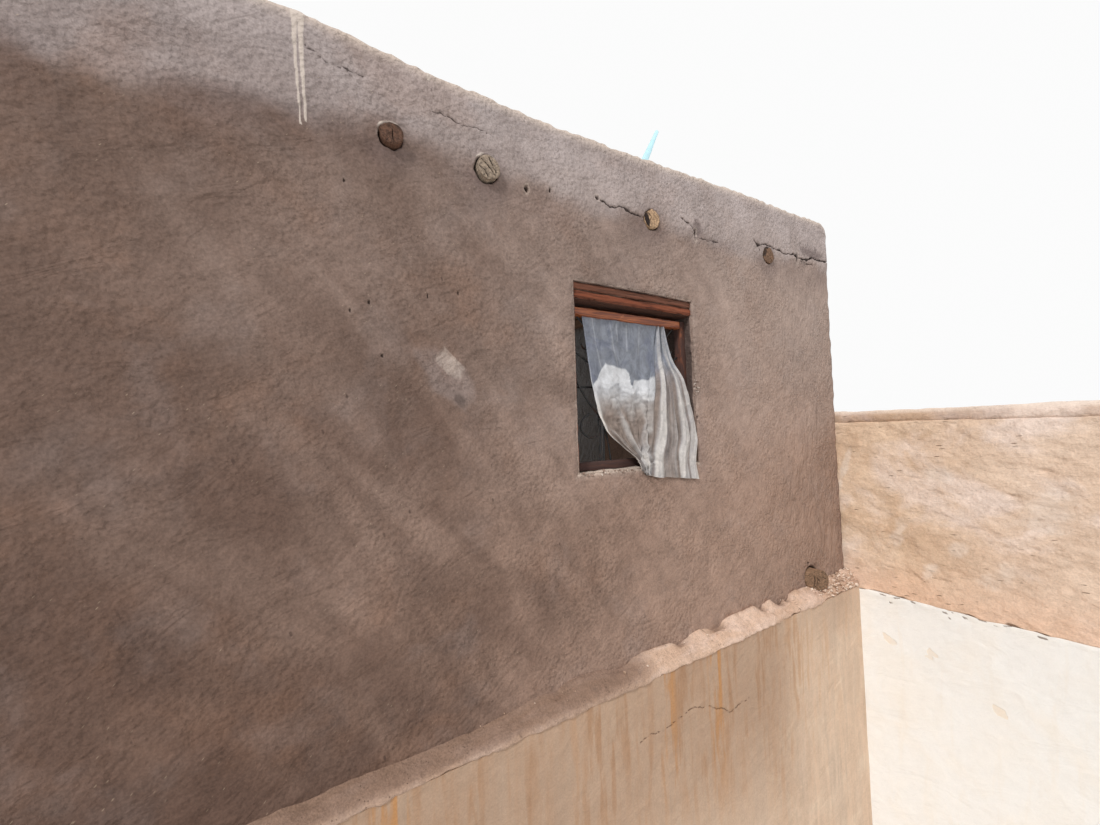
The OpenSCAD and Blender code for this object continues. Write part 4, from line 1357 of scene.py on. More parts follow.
class HOUSE_OT_ledge(bpy.types.Operator):
    """Runs the hand-smoothed mud ledge round the house"""

    bl_idname = "house.ledge"
    bl_label = "Ledge"

    def execute(self, context):
        settings = context.scene.house_plaster
        hidden = 0.03  # how deep the ledge's own box starts inside the wall
        low = Vector((UPPER_LOW.x + hidden, UPPER_LOW.y + hidden, 2.728))
        high = Vector((UPPER_HIGH.x - hidden, UPPER_HIGH.y - hidden, 2.79))
        bm = open_box(low, high, settings.corner, 4)
        cut_across(bm, X, lambda co: 0.013 if co.y < FRONT + 0.05 else 0.05)
        cut_across(bm, Y, lambda co: 0.05)
        profile = [(-0.02, 2.842), (-0.035, 2.837), (-0.050, 2.828), (-0.065, 2.820),
                   (-0.080, 2.812), (-0.095, 2.804), (-0.108, 2.795), (-0.120, 2.784),
                   (-0.130, 2.772), (-0.137, 2.760), (-0.140, 2.749), (-0.137, 2.741),
                   (-0.128, 2.736), (-0.110, 2.733), (-0.070, 2.730)]
        drawn_over(bm, low, high, profile)
        bmesh.ops.bridge_loops(bm, edges=open_edges(bm, lambda co: True))
        bmesh.ops.recalc_face_normals(bm, faces=bm.faces)
        raise_by(bm, ledge_rule)
        softened(bm, 70)
        stones = [stone(*place) for place in ledge_stones()]
        nodes = [f"{side}_ledge" for side in ("front", "back", "left", "right")]
        set_down("mud_ledge", [bm] + stones, ledge_mud(settings), "ledge_mud", *nodes)
        return {"FINISHED"}


# Along the front: heaps of mud against the wall and notches between ledge and wall
LEDGE_HEAPS = [(2.75, 0.10, 0.014), (3.10, 0.14, 0.018), (3.62, 0.12, 0.020), (4.02, 0.07, 0.016),
               (4.38, 0.07, 0.034), (4.57, 0.09, 0.048), (4.79, 0.06, 0.040), (5.14, 0.05, 0.022),
               (5.66, 0.14, 0.030), (5.92, 0.12, 0.042)]
LEDGE_NOTCHES = [(2.93, 0.05, 0.018), (3.36, 0.07, 0.022), (3.86, 0.05, 0.022), (4.20, 0.07, 0.030),
                 (4.69, 0.030, 0.026), (4.94, 0.055, 0.036), (5.04, 0.025, 0.030), (5.52, 0.03, 0.02)]


def ledge_rule(wear, co, facing):
    """Falls and lumps of the ledge: smooth at the left, broken and stony at the right corner. Painted
    shadow lies over the left part, darkest on the top, and painted shade in the notches.
    """
    along = co.x - LEFT
    wear.out = lump(co, 0.34, 0.011) + lump(co, 0.12, 0.009) + lump(co, 0.040, 0.0035)
    broken = rise(along, 4.2, 4.5) * (1 - rise(along, 4.95, 5.1)) + rise(along, 5.15, 5.6)
    wear.mark("worn", broken)
    wear.out += broken * (lump(co, 0.05, 0.012) + lump(co, 0.022, 0.006))
    low_edge = 1 - rise(co.z, 2.745, 2.775)
    chips = max(0.0, ripple(co.x / 0.09, co.y / 0.09, 4))
    wear.out -= low_edge * (0.014 * chips + 0.006 * max(0.0, noise.noise(co / 0.03)))
    if facing.y > 0.2 or co.y > FRONT + 0.02:
        return
    upward = rise(facing.z, 0.2, 0.8)
    inner = rise(co.y, FRONT - 0.075, FRONT - 0.010) * upward
    ragged = along + 0.03 * ripple(along * 9, co.y * 30, 5)
    wear.out -= 0.022 * (1 - rise(along, 2.4, 3.1)) * upward
    for middle, wide, high in LEDGE_HEAPS:
        wear.out += high * hill(ragged - middle, wide) * inner
    for middle, wide, deep in LEDGE_NOTCHES:
        notch = hill(ragged - middle, wide) * rise(inner, 0.3, 0.8)
        wear.out -= 0.8 * deep * notch
        # painted shade in the notch
        wear.mark("stain", 0.8 * notch)
    step = rise(along, 5.04, 5.08) * (1 - rise(along, 5.30, 5.50))
    wear.out += 0.012 * step * rise(facing.z, 0, 0.6) - 0.010 * rise(along, 4.86, 4.95) * (1 - step)
    # painted shadow over the left part, darker on the upward faces
    left_part = 1 - rise(along + 0.4 * noise.noise(co / 0.3), 3.1, 4.0)
    wear.mark("stain", (0.55 + 0.4 * upward) * left_part)
    for seam in (4.07, 5.055):
        gap = abs(along - seam - 0.03 * ripple(0, co.y * 14, co.z * 14))
        wear.mark("crack", 0.65 * (1 - rise(gap, 0.001, 0.006)))
    wear.out -= 0.008 * wear.marks["crack"]


def ledge_stones():
    """Grit and broken plaster on the ledge, thick towards the courtyard wall."""
    rng = random.Random(11)
    for _ in range(420):
        along = 5.10 + 0.90 * rng.random() ** 0.55 if rng.random() < 0.85 else rng.uniform(2.5, 5.9)
        forward = rng.uniform(0.002, 0.106)
        up = 2.838 - 0.42 * forward - 1.2 * max(forward - 0.075, 0)
        up += 0.034 * rise(along, 5.5, 5.9) * (1 - rise(forward, 0.02, 0.09))
        size = (0.0035 + 0.0085 * rng.random() ** 2.2) * (1.2 if along > 5.3 else 0.7)
        yield on_front(min(along, 5.985), up, forward), size, rng.random(), rng.random()


def stone(place, size, turn, pale):
    """A small broken lump."""
    bm = new_shape()
    squash = Matrix.Diagonal((1.3, 0.9, 0.7, 1))
    bmesh.ops.create_icosphere(bm, subdivisions=1, radius=size, matrix=squash)
    bmesh.ops.rotate(bm, verts=bm.verts, cent=(0, 0, 0),
                     matrix=Matrix.Rotation(turn * 6.3, 3, Vector((turn, 0.4, 1))))
    layer = bm.verts.layers.float["pale"]
    for vertex in bm.verts:
        vertex.co *= 1 + 0.45 * noise.noise(vertex.co / size + place * 40)
        vertex[layer] = pale
    bmesh.ops.translate(bm, vec=place, verts=bm.verts)
    softened(bm, 30)
    return bm


# The courtyard wall


def block(low, high, pitch, arris):
    """A plastered block with rounded edges and an even mesh."""
    bm = box_shape(low, high)
    bevelled(bm, bm.edges[:], arris, 3)
    for direction in (X, Y, Z):
        cut_across(bm, direction, lambda co: pitch)
    return bm


YARD_CHIPS = [((-0.36, 3.18), 0.05), ((-0.55, 3.70), 0.04), ((-0.86, 3.36), 0.05),
              ((-1.1, 3.62), 0.05), ((-0.30, 3.60), 0.04), ((-1.32, 3.05), 0.04),
              ((-0.75, 3.02), 0.06), ((-1.25, 3.80), 0.05)]
YARD_SEAMS = [[(-0.30, 2.96), (-0.62, 2.94), (-0.80, 2.95)],
              [(-0.76, 3.30), (-1.05, 3.26), (-1.3, 3.29)],
              [(-0.62, 3.62), (-0.74, 3.58), (-0.9, 3.64)],
              [(-1.0, 3.42), (-1.2, 3.47), (-1.34, 3.44)],
              [(-0.42, 4.128), (-0.62, 4.133), (-0.83, 4.130)]]
YARD_SMEARS = [((-0.045, 3.78), (0.035, 0.26)), ((-0.42, 3.26), (0.07, 0.16)),
               ((-0.78, 3.18), (0.08, 0.12)), ((-1.02, 3.05), (0.13, 0.12)),
               ((-0.6, 2.98), (0.09, 0.10)), ((-1.25, 3.55), (0.16, 0.20)),
               ((-0.70, 3.75), (0.14, 0.12))]


def yard_rule(settings):
    """Overlapping float strokes of the courtyard wall's mud, standing just proud of the wash."""

    def rule(wear, co, facing):
        back, up = co.y - FRONT, co.z
        wear.out = lump(co, 0.8, settings.swell) + lump(co, 0.24, 0.008) + lump(co, 0.08, 0.0035)
        stroke = ripple(0, (back + up * 0.45) / 0.30, (up - back * 0.3) / 0.11)
        second = ripple(4, (back + up * 0.8) / 0.22, (up - back * 0.4) / 0.08)
        side = rise(abs(facing.x), 0.4, 0.9)
        wear.out += (0.005 * rise(stroke, 0.0, 0.14) + 0.003 * rise(second, 0.1, 0.25)) * side
        wear.mark("stain", 1 - rise(up, 2.75, 3.1))
        if facing.x < -0.3:
            yard_features(wear, back, up, stroke)
        wear.out = min(wear.out, 0.0 if facing.y < -0.5 else 0.020)
    return rule


def yard_features(wear, back, up, stroke):
    """What the shown side of the mud has: chips, seams, pale smears and a torn lower edge."""
    wear.out += 0.008 * rise(up, 2.74, 2.80)
    for middle, size in YARD_CHIPS:
        gap = oval(back, up, middle, (size, size * 0.35))
        wear.out -= 0.009 * (1 - rise(gap + 0.7 * stroke, 0.4, 1.0))
    for line in YARD_SEAMS:
        gap = off_line(back, up + 0.014 * ripple(0, back * 22, up * 22), line)
        ragged = max(0.35 + 1.8 * ripple(9, back * 15, up * 5), 0.02)
        open_part = 1 - rise(gap, 0.001 * ragged, 0.008 * ragged + 0.001)
        wear.mark("crack", open_part * 0.55)
        wear.out -= 0.006 * open_part
    for (y, z), (wide, high) in YARD_SMEARS:
        gap = math.hypot((back - y + 0.3 * (up - z)) / wide, (up - z) / high) + 0.5 * stroke
        wear.mark("pale", 0.75 * (1 - rise(gap, 0.3, 1.2)))
    if up < 2.77:
        edge = 2.731 + 0.014 * ripple(0, back * 13, 5)
        torn = rise(ripple(2, back * 9, 1), -0.15, 0.25)
        wear.mark("crack", 0.85 * torn * (1 - rise(up, edge, edge + 0.007)))


def coping_rule(wear, co, facing):
    """A lumpy hand-laid coping, paler on its upward faces."""
    if facing.z < -0.5:
        wear.out = 0.004
        return
    under = 1 - rise(co.z, 4.155, 4.180)
    gap = abs(ripple(2, co.y / 0.16, co.z / 0.1))
    crack = 0.6 * under * (1 - rise(gap, 0.02, 0.12))
    out = lump(co, 0.35, 0.010) + lump(co, 0.12, 0.008) + lump(co, 0.045, 0.004) - 0.004
    wear.out = min(out - crack * 0.012, 0.0 if facing.y < -0.5 else 0.014)
    wear.mark("worn", rise(facing.z, 0.1, 0.7))
    wear.mark("crack", crack)


PEELED = [((-0.31, 2.35), (0.055, 0.035)), ((-0.57, 2.345), (0.035, 0.045)),
          ((-0.95, 2.1), (0.05, 0.03))]
# Dark cracks along the joint below the mud coat, partly painted shadow of the coat's edge
WASH_CRACKS_AND_SHADOWS = [[(-0.02, 2.712), (-0.08, 2.705), (-0.14, 2.712)],
               [(-0.25, 2.700), (-0.33, 2.706), (-0.40, 2.696)],
               [(-0.46, 2.708), (-0.52, 2.694), (-0.60, 2.700)],
               [(-0.66, 2.690), (-0.72, 2.700), (-0.80, 2.684)],
               [(-0.86, 2.704), (-0.95, 2.696), (-1.04, 2.706)],
               [(-1.15, 2.690), (-1.27, 2.700), (-1.36, 2.694)],
               [(-0.70, 2.655), (-0.76, 2.662)], [(-0.30, 2.665), (-0.36, 2.660)]]


def wash_rule(wear, co, facing):
    """Smooth pale wash with an edge that flakes below the mud coat, and dark cracks there that are
    partly painted shadow of the coat's edge.
    """
    back, up = co.y - FRONT, co.z
    wear.out = lump(co, 1.0, 0.004) + lump(co, 0.25, 0.0018)
    wear.mark("stain", 1 - rise(up, 0.03, 0.4 + 0.2 * noise.noise(co / 0.5)))
    if facing.x < -0.3:
        wobble = ripple(0, back * 30, up * 30)
        for (y, z), (wide, high) in PEELED:
            turned = (back - y) * 0.8 + (up - z) * 0.6
            gap = math.hypot(turned / wide, ((up - z) * 0.8 - (back - y) * 0.6) / high)
            wear.mark("pale", 1 - rise(gap + 0.3 * wobble, 0.7, 1.1))
        ragged = max(0.55 + 1.6 * ripple(9, back * 18, 0), 0.05)
        drift = 0.014 * ripple(4, back * 14, 0) - 0.010
        gap = min(off_line(back, up + drift, line) for line in WASH_CRACKS_AND_SHADOWS)
        wear.mark("crack", 1 - rise(gap, 0.001 * ragged, 0.007 * ragged + 0.001))
        wear.out -= 0.003 * wear.marks["crack"]
        wear.out += 0.004 * rise(up + 0.022 * ripple(6, back * 11, up * 4), 2.685, 2.697)
    wear.out = min(wear.out, 0.0 if facing.y < -0.5 else 0.010)


class HOUSE_OT_courtyard_wall(bpy.types.Operator):
    """Builds the stub of courtyard wall: pale wash below, mud above and a coping"""

    bl_idname = "house.courtyard_wall"
    bl_label = "Courtyard wall"

    def execute(self, context):
        settings = context.scene.house_plaster
        wash = block(*around("courtyard_wall_lower"), 0.033, 0.012)
        finer_near(wash, lambda co: co.x < YARD_FACE + 0.01 and co.z > 2.60)
        raise_by(wash, wash_rule)
        softened(wash, 60)
        set_down("courtyard_wash", wash, yard_wash(settings), "yard_wash", "courtyard_wall_lower")
        mud = block(*around("courtyard_wall_upper"), 0.022, 0.012)
        finer_near(mud, lambda co: co.x < YARD_FACE + 0.01)
        raise_by(mud, yard_rule(settings))
        for vertex in mud.verts:
            edge = 1 - rise(vertex.co.z, 2.725, 2.78)
            vertex.co.z += edge * 0.012 * ripple(3, vertex.co.y / 0.13, 0)
        softened(mud, 60)
        set_down("courtyard_mud", mud, yard_mud("yard_mud", settings.yard, (0, 0, 0)), "yard_mud",
                 "courtyard_wall_upper")
        coping = block(*around("courtyard_wall_coping"), 0.018, 0.040)
        raise_by(coping, coping_rule)
        softened(coping, 70)
        base = tone(0.76, 0.665, 0.61)
        set_down("courtyard_coping", coping, yard_mud("yard_coping", base, (4, 0, 0)), "yard_mud",
                 "courtyard_wall_coping")
        return {"FINISHED"}


# Timbers


LOG_STEP = 0.12  # about how far apart the rings of a round timber's mesh are
HIDDEN_TINT = 0.4


def narrowed(bm, ring, centre, factor):
    """Scales a ring that lies square to Y about its centre."""
    bmesh.ops.scale(bm, vec=(factor, 1, factor), verts=ring, space=Matrix.Translation(-centre))


def log_shell(ends, shown):
    """The closed shell of a tapered round timber, with a finer mesh if its front end is shown."""
    front, front_radius, back, back_radius = ends
    bm = new_shape()
    flat = Matrix.Translation(front) @ Matrix.Rotation(math.radians(90), 4, "X")
    bmesh.ops.create_circle(bm, cap_ends=False, segments=72 if shown else 28, radius=front_radius,
                            matrix=flat)
    rim = bm.edges[:]
    length = back.y - front.y
    count = max(2, round(length / LOG_STEP))
    centre, radius = front.copy(), front_radius
    for stop in [0.004, 0.012, 0.03] + [share / count * length for share in range(1, count + 1)]:
        place = front.lerp(back, stop / length)
        size = front_radius + (back_radius - front_radius) * stop / length
        rim, ring = extruded(bm, rim)
        narrowed(bm, ring, centre, size / radius)
        bmesh.ops.translate(bm, vec=place - centre, verts=ring)
        centre, radius = place, size
    for middle, count in ((back, 5), (front, 22 if shown else 5)):
        rim = open_edges(bm, lambda co: abs(co.y - middle.y) < TOUCH)
        reaches = [1.0, 0.965] + [1 - number / count for number in range(2, count)]
        for last_reach, reach in zip(reaches, reaches[1:]):
            rim, ring = extruded(bm, rim)
            narrowed(bm, ring, middle, reach / last_reach)
        rim, ring = extruded(bm, rim)
        bmesh.ops.pointmerge(bm, verts=ring, merge_co=middle)
    bmesh.ops.recalc_face_normals(bm, faces=bm.faces)
    return bm


def log(ends, seed, look=None):
    """One round timber along Y: tapered, knotty, with checks in its front end.

    look holds the tint, how pale and how dark at the top or the left the front end is, the dark being
    painted shade, how far its cut slants, and splits as broken lines in its plane, in radii from its
    centre."""
    front, front_radius, back, back_radius = ends
    bm = log_shell(ends, look is not None)
    grain = bm.verts.layers.float_vector["grain"]
    marks = marks_of(bm, "tone", "end", "crack", "pale")
    shift = Vector((0.006 * math.sin(seed), 0.006 * math.cos(seed * 2), seed * 3.7))
    length = back.y - front.y
    for vertex in bm.verts:
        share = (vertex.co.y - front.y) / length
        spoke = vertex.co - front.lerp(back, share)
        spoke.y = 0
        reach = front_radius + (back_radius - front_radius) * share
        at_end = min(vertex.co.y - front.y, back.y - vertex.co.y) < TOUCH
        vertex[grain] = Vector((spoke.x, spoke.z, vertex.co.y)) + shift
        vertex[marks["tone"]] = look["tint"] if look else HIDDEN_TINT
        vertex[marks["end"]] = 1.0 if at_end and spoke.length < reach * 0.985 else 0.0
        way = spoke.normalized() if spoke.length > 1e-6 else Vector()
        lengthwise = Vector((0, vertex.co.y * 2.2, seed * 7))
        swell = 0.085 * noise.noise(way * 0.8 + lengthwise)
        swell += 0.045 * noise.noise(way * 2.6 + lengthwise)
        knot = max(0.0, noise.noise(way * 1.5 + Vector((0, vertex.co.y * 4, seed * 9))) - 0.35)
        vertex.co += spoke * (swell + knot * 0.35)
        if look:
            vertex[marks["pale"]] = look.get("pale", 0.0)
            vertex.co.y -= look["slant"] * spoke.x * (1 - rise(share * length, 0.02, 0.25))
        if at_end and share < 0.5:
            across, up = spoke.x / front_radius, spoke.z / front_radius
            rough = ripple(across * 2, seed, up * 2)
            vertex.co.y += 0.003 * rough + 0.005 * rise(math.hypot(across, up), 0.86, 1.0)
            if look:
                vertex.co.y += 0.002 * ripple(across * 9, seed, up * 9)
                crack, depth = split_at(across, up, rough, seed, look)
                vertex[marks["crack"]] = crack
                vertex.co.y += depth
    softened(bm, 50)
    return bm


def split_at(across, up, rough, seed, look):
    """How dark a place of a shown end is, from its splits and from painted shade towards one side, and
    how deep its splits go there.
    """
    crack, depth = 0.0, 0.0
    # painted shade: the end is darkened towards one side
    if "dark" in look:
        way, dark = look["dark"]
        towards = math.cos(math.atan2(up, across) - math.radians(way))
        crack = dark * rise(towards * math.hypot(across, up) + 0.35 * rough, 0.15, 0.75)
    for line, width in look["splits"]:
        bend = 0.05 * ripple(across * 5, up * 5, seed)
        wide = width * (1 + 1.2 * ripple(across * 3, up * 3, seed + 4))
        open_part = 1 - rise(off_line(across + bend, up, line), wide * 0.3, wide + 0.03)
        depth += 0.008 * open_part
        crack = max(crack, 0.85 * open_part)
    return crack, depth


# The shown poles from left to right: their tints, how pale their ends are, which side is darkened as
# painted shade, how far the cut slants, and the checks in their ends with half widths
POLE_LOOKS = (
    {"tint": 0.0, "dark": (100, 0.45), "slant": 0.12,
     "splits": [([(0.0, 0.25), (-0.02, -0.2), (0.07, -0.75)], 0.030)]},
    {"tint": 0.95, "pale": 0.25, "slant": 0.05,
     "splits": [([(-0.70, 0.55), (-0.1, 0.12), (0.55, -0.62)], 0.028),
                ([(0.0, 0.80), (0.35, 0.1), (0.62, -0.3)], 0.035),
                ([(-0.85, -0.05), (-0.35, -0.42), (-0.05, -0.85)], 0.022)]},
    {"tint": 0.45, "pale": 0.95, "dark": (190, 0.9), "slant": 0.10,
     "splits": [([(-0.5, 0.55), (-0.15, 0.25), (-0.25, -0.1)], 0.05)]},
    {"tint": 0.05, "pale": 0.20, "dark": (150, 0.60), "slant": 0.12,
     "splits": [([(0.25, -0.30), (0.45, -0.55), (0.30, -0.85)], 0.035)]},
)
JOIST_LOOK = {"tint": 0.0, "pale": 0.34, "slant": 0.50,
              "splits": [([(-0.28, 0.50), (-0.26, 0.0), (-0.34, -0.45), (-0.12, -0.72)], 0.030),
                         ([(-0.08, 0.40), (0.00, 0.0), (-0.04, -0.40)], 0.022),
                         ([(0.02, 0.10), (0.22, -0.08)], 0.02), ([(0.45, 0.3), (0.75, 0.1)], 0.015)]}


class HOUSE_OT_round_timbers(bpy.types.Operator):
    """Lays the roof poles and the floor joists"""

    bl_idname = "house.round_timbers"
    bl_label = "Poles and joists"

    def execute(self, context):
        settings = context.scene.house_timber
        finish = timber("pole_timber", settings.pole, settings.grey, 0.36)
        looks = {pole[0].x: look for pole, look in zip(SHOWN_POLES, POLE_LOOKS)}
        poles = [log(pole, number + 1, looks.get(pole[0].x)) for number, pole in enumerate(POLES)]
        set_down("roof_pole_row", poles, finish, "pole_timber", "roof_poles")
        joists = []
        for number, joist in enumerate(JOISTS):
            shown = stands_out(joist)
            if shown:
                joist[0].y += 0.018
            joists.append(log(joist, number + 31, JOIST_LOOK if shown else None))
        set_down("floor_joist_row", joists, finish, "pole_timber", "floor_joists")
        return {"FINISHED"}


def board(low, high, seed, tint, wear=1.0, pitch=0.02, arris=0.004, worn=0.0, dark=0.0):
    """One sawn board, darkened underneath as painted shade: waves along the grain, chipped arrises,
    uneven ends.
    """
    size = high - low
    run = max(range(3), key=lambda axis: size[axis])
    side_a, side_b = [axis for axis in range(3) if axis != run]
    bm = box_shape(low, high)
    bevelled(bm, bm.edges[:], arris, 2)
    for axis, direction in enumerate((X, Y, Z)):
        width = pitch if axis == run else pitch * 0.6
        cut_across(bm, direction, lambda co: width)
    bm.normal_update()
    grain = bm.verts.layers.float_vector["grain"]
    marks = marks_of(bm, "tone", "end", "worn", "stain")
    middle = (low + high) / 2
    pith = Vector((0.05 + 0.03 * math.sin(seed * 5), 0.06 * math.cos(seed * 3), seed * 1.7))
    for vertex in bm.verts:
        local = vertex.co - middle
        vertex[grain] = Vector((local[side_a], local[side_b], local[run])) + pith
        vertex[marks["tone"]] = tint
        at_end = abs(abs(local[run]) - size[run] / 2) < TOUCH
        vertex[marks["end"]] = 1.0 if at_end and abs(vertex.normal[run]) > 0.7 else 0.0
        vertex[marks["worn"]] = worn
        # painted shade: faces that look down are darkened
        vertex[marks["stain"]] = max(dark, rise(-vertex.normal.z, 0.5, 0.8))
        place = vertex.co + Vector((seed, seed * 2, 0))
        stretched = Vector(place)
        stretched[run] *= 0.18
        out = 0.0016 * noise.noise(stretched / 0.02) + 0.0012 * noise.noise(place / 0.15)
        near_edge = sum(size[axis] / 2 - abs(local[axis]) < arris * 1.2 for axis in (side_a, side_b))
        if near_edge == 2:
            out -= 0.006 * max(0.0, noise.noise(place / 0.05)) + 0.0015
        vertex.co += vertex.normal * out * wear
        if at_end:
            short = 0.008 * wear * abs(noise.noise(stretched / 0.008))
            vertex.co[run] -= math.copysign(short, local[run])
    softened(bm, 45)
    return bm


def boards_of(node, seed, tint, **more):
    """The boards of a node, each on the box of its own solid."""
    shapes = []
    for number, part in enumerate(loose_parts(node)):
        low = Vector(min(co[axis] for co in part) for axis in range(3))
        high = Vector(max(co[axis] for co in part) for axis in range(3))
        shapes.append(board(low, high, seed + number * 1.3, tint, **more))
    return shapes


class HOUSE_OT_window(bpy.types.Operator):
    """Fits the window's lintel, frame and scrolled grille"""

    bl_idname = "house.window"
    bl_label = "Window"

    def execute(self, context):
        settings = context.scene.house_timber
        lintel = timber("lintel_timber", settings.lintel, tone(0.52, 0.325, 0.225), 0.44)
        lower = boards_of("window_lintel_lower", 1, 0.30, wear=2.4, pitch=0.010)
        upper = boards_of("window_lintel_upper", 7, 0.2, wear=4.2, pitch=0.010, worn=0.10, dark=0.45)
        set_down("lintel_lower_boards", lower, lintel, "lintel_timber", "window_lintel_lower")
        set_down("lintel_upper_boards", upper, lintel, "lintel_timber", "window_lintel_upper")
        varnish = varnished(settings)
        for part, tint, number in (("frame_head", 0.0, 3), ("right_jamb", 0.72, 5),
                                   ("left_jamb", 0.50, 6), ("frame_sill", 0.85, 8)):
            node = f"window_{part}"
            set_down(f"window_{part}_board", boards_of(node, number, tint, arris=0.003, pitch=0.015),
                     varnish, "frame_timber", node)
        grille = [bar(line, radius) for line, radius in grille_bars()]
        set_down("window_grille", grille, wrought_iron(settings), "frame_timber")
        return {"FINISHED"}


# Scrolls of the grille at the window's left, as (across, up) from the opening's low left corner
SCROLLS = [
    [(0.048, 0.935), (0.087, 0.903), (0.113, 0.880), (0.154, 0.840), (0.185, 0.780), (0.175, 0.725),
     (0.135, 0.715), (0.110, 0.745)],
    [(0.048, 0.712), (0.089, 0.686), (0.125, 0.663), (0.167, 0.637), (0.230, 0.628)],
    [(0.048, 0.488), (0.097, 0.488), (0.205, 0.491), (0.490, 0.491)],
    [(0.048, 0.560), (0.091, 0.488), (0.157, 0.394), (0.231, 0.314), (0.274, 0.270), (0.330, 0.235)],
    [(0.160, 0.330), (0.121, 0.307), (0.098, 0.273), (0.102, 0.230), (0.154, 0.194), (0.215, 0.197)],
    [(0.245, 0.261), (0.243, 0.180), (0.238, 0.112), (0.236, 0.048)],
    [(0.262, 0.261), (0.258, 0.160), (0.253, 0.048)],
    [(0.272, 0.250), (0.297, 0.153), (0.310, 0.064), (0.312, 0.048)],
    [(0.238, 0.935), (0.238, 0.420), (0.231, 0.260)],
]


def curve_at(before, start, end, after, t):
    """A place a share t of the way from start to end, on a smooth curve through all four."""
    return 0.5 * (2 * start + (end - before) * t
                  + (2 * before - 5 * start + 4 * end - after) * t ** 2
                  + (3 * start - before - 3 * end + after) * t ** 3)


def smooth_line(points):
    """A smooth curve through points, sampled a few times between each two."""
    steps = 6
    ends = [points[0] * 2 - points[1]] + points + [points[-1] * 2 - points[-2]]
    line = []
    for corners in zip(ends, ends[1:], ends[2:], ends[3:]):
        line += [curve_at(*corners, step / steps) for step in range(steps)]
    return line + [points[-1]]


def bar(line, radius):
    """A round bar along a line of points, closed at its ends."""
    bm, sides = new_shape(), 8
    heading = (line[1] - line[0]).normalized()
    stand = Matrix.Translation(line[0]) @ heading.to_track_quat("Z", "Y").to_matrix().to_4x4()
    bmesh.ops.create_circle(bm, cap_ends=False, segments=sides, radius=radius, matrix=stand)
    rim, corners = bm.edges[:], bm.verts[:]
    for number in range(1, len(line)):
        onward = line[min(number + 1, len(line) - 1)] - line[number - 1]
        rim, corners = extruded(bm, rim)
        bmesh.ops.translate(bm, vec=line[number] - line[number - 1], verts=corners)
        turn = heading.rotation_difference(onward.normalized())
        bmesh.ops.rotate(bm, cent=line[number], matrix=turn.to_matrix(), verts=corners)
        heading = onward.normalized()
    bmesh.ops.holes_fill(bm, edges=open_edges(bm, lambda co: True), sides=sides)
    softened(bm, 50)
    return bm


def grille_bars():
    """The scrolls, mirrored about the middle of the opening, and the upright between them."""
    wide = WINDOW_HIGH.x - WINDOW_LOW.x
    depth = FRONT + 0.098
    for number, scroll in enumerate(SCROLLS):
        for side in (False, True):
            points = [Vector((WINDOW_LOW.x + (wide - across if side else across),
                              depth + 0.007 * (number % 3), WINDOW_LOW.z + up))
                      for across, up in scroll]
            yield smooth_line(points), 0.0055
    for up in (0.30, 0.36):
        ring = [Vector((WINDOW_LOW.x + 0.236 + 0.014 * math.cos(a), depth + 0.012 * math.sin(a),
                        WINDOW_LOW.z + up)) for a in [math.tau * i / 10 for i in range(11)]]
        yield ring, 0.005


# The sheet in the window


LEFT_HEM = [(0.110, 0.902), (0.134, 0.690), (0.158, 0.520), (0.200, 0.340), (0.275, 0.190),
            (0.405, 0.075), (0.448, -0.010)]
RIGHT_HEM = [(0.782, 0.902), (0.822, 0.680), (0.862, 0.560), (0.922, 0.350), (0.962, 0.160),
             (0.935, 0.020), (0.958, -0.112)]
RIDGE = [(0.715, 0.902), (0.668, 0.700), (0.628, 0.520), (0.590, 0.350), (0.560, 0.190),
         (0.520, 0.075), (0.500, -0.055)]


def along_line(points, share):
    """A place a share of the way along evenly spaced points, on a smooth curve."""
    last = len(points) - 1
    spot = share * last
    start = min(int(spot), last - 1)
    corners = [Vector(points[min(max(start + i, 0), last)]) for i in (-1, 0, 1, 2)]
    return curve_at(*corners, spot - start)


# Across the fanned right part, from the ridge to the hem: how far each fold stands out, and how pale
# the cloth is where it lies double and where painted light falls on its folds
FAN_FOLDS = [(0.0, -0.4), (0.07, -0.8), (0.14, 0.2), (0.21, 1.0), (0.30, 0.0), (0.40, -0.45),
             (0.53, -0.30), (0.61, -0.75), (0.69, 0.65), (0.79, 0.35), (0.825, -0.15), (0.87, 0.5),
             (0.95, 0.75), (1.0, 0.1)]
FAN_DOUBLE_AND_FOLD_LIGHT = [(0.0, 0.25), (0.09, 0.15), (0.15, 0.80), (0.22, 0.72), (0.30, 0.38), (0.45, 0.26),
              (0.57, 0.40), (0.62, 0.12), (0.66, 0.76), (0.80, 0.60), (0.825, 0.22), (0.85, 0.62),
              (1.0, 0.78)]
# Pale creases in the thin upper part
THIN_CREASES = [[(0.185, 0.90), (0.205, 0.75), (0.245, 0.585)],
                [(0.315, 0.89), (0.335, 0.74), (0.375, 0.60)],
                [(0.365, 0.88), (0.372, 0.78)], [(0.455, 0.88), (0.450, 0.72)],
                [(0.56, 0.88), (0.545, 0.70)]]


def eased(line, place):
    """Reads off a line whose points are rounded crests and troughs."""
    for (start, low), (end, high) in zip(line, line[1:]):
        if start <= place <= end:
            return low + (high - low) * rise(place, start, end)
    return line[0][1] if place < line[0][0] else line[-1][1]


def gathers(flat):
    """Folds that run together into the knot at the sheet's lower left, from -1 to 1."""
    across, up = flat.x - 0.49, flat.y - 0.01
    reach = math.hypot(across, up)
    way = math.atan2(up, across)
    fall = rise(reach, 0.02, 0.10) * (1 - rise(reach, 0.25, 0.45))
    bend = way + 0.12 * ripple(way * 2, reach * 6, 1)
    broad = ripple(bend * 4.4, reach * 1.5, 2)
    return fall * (1.5 * broad + 1.1 * ripple(bend * 11, reach * 2.0, 7))


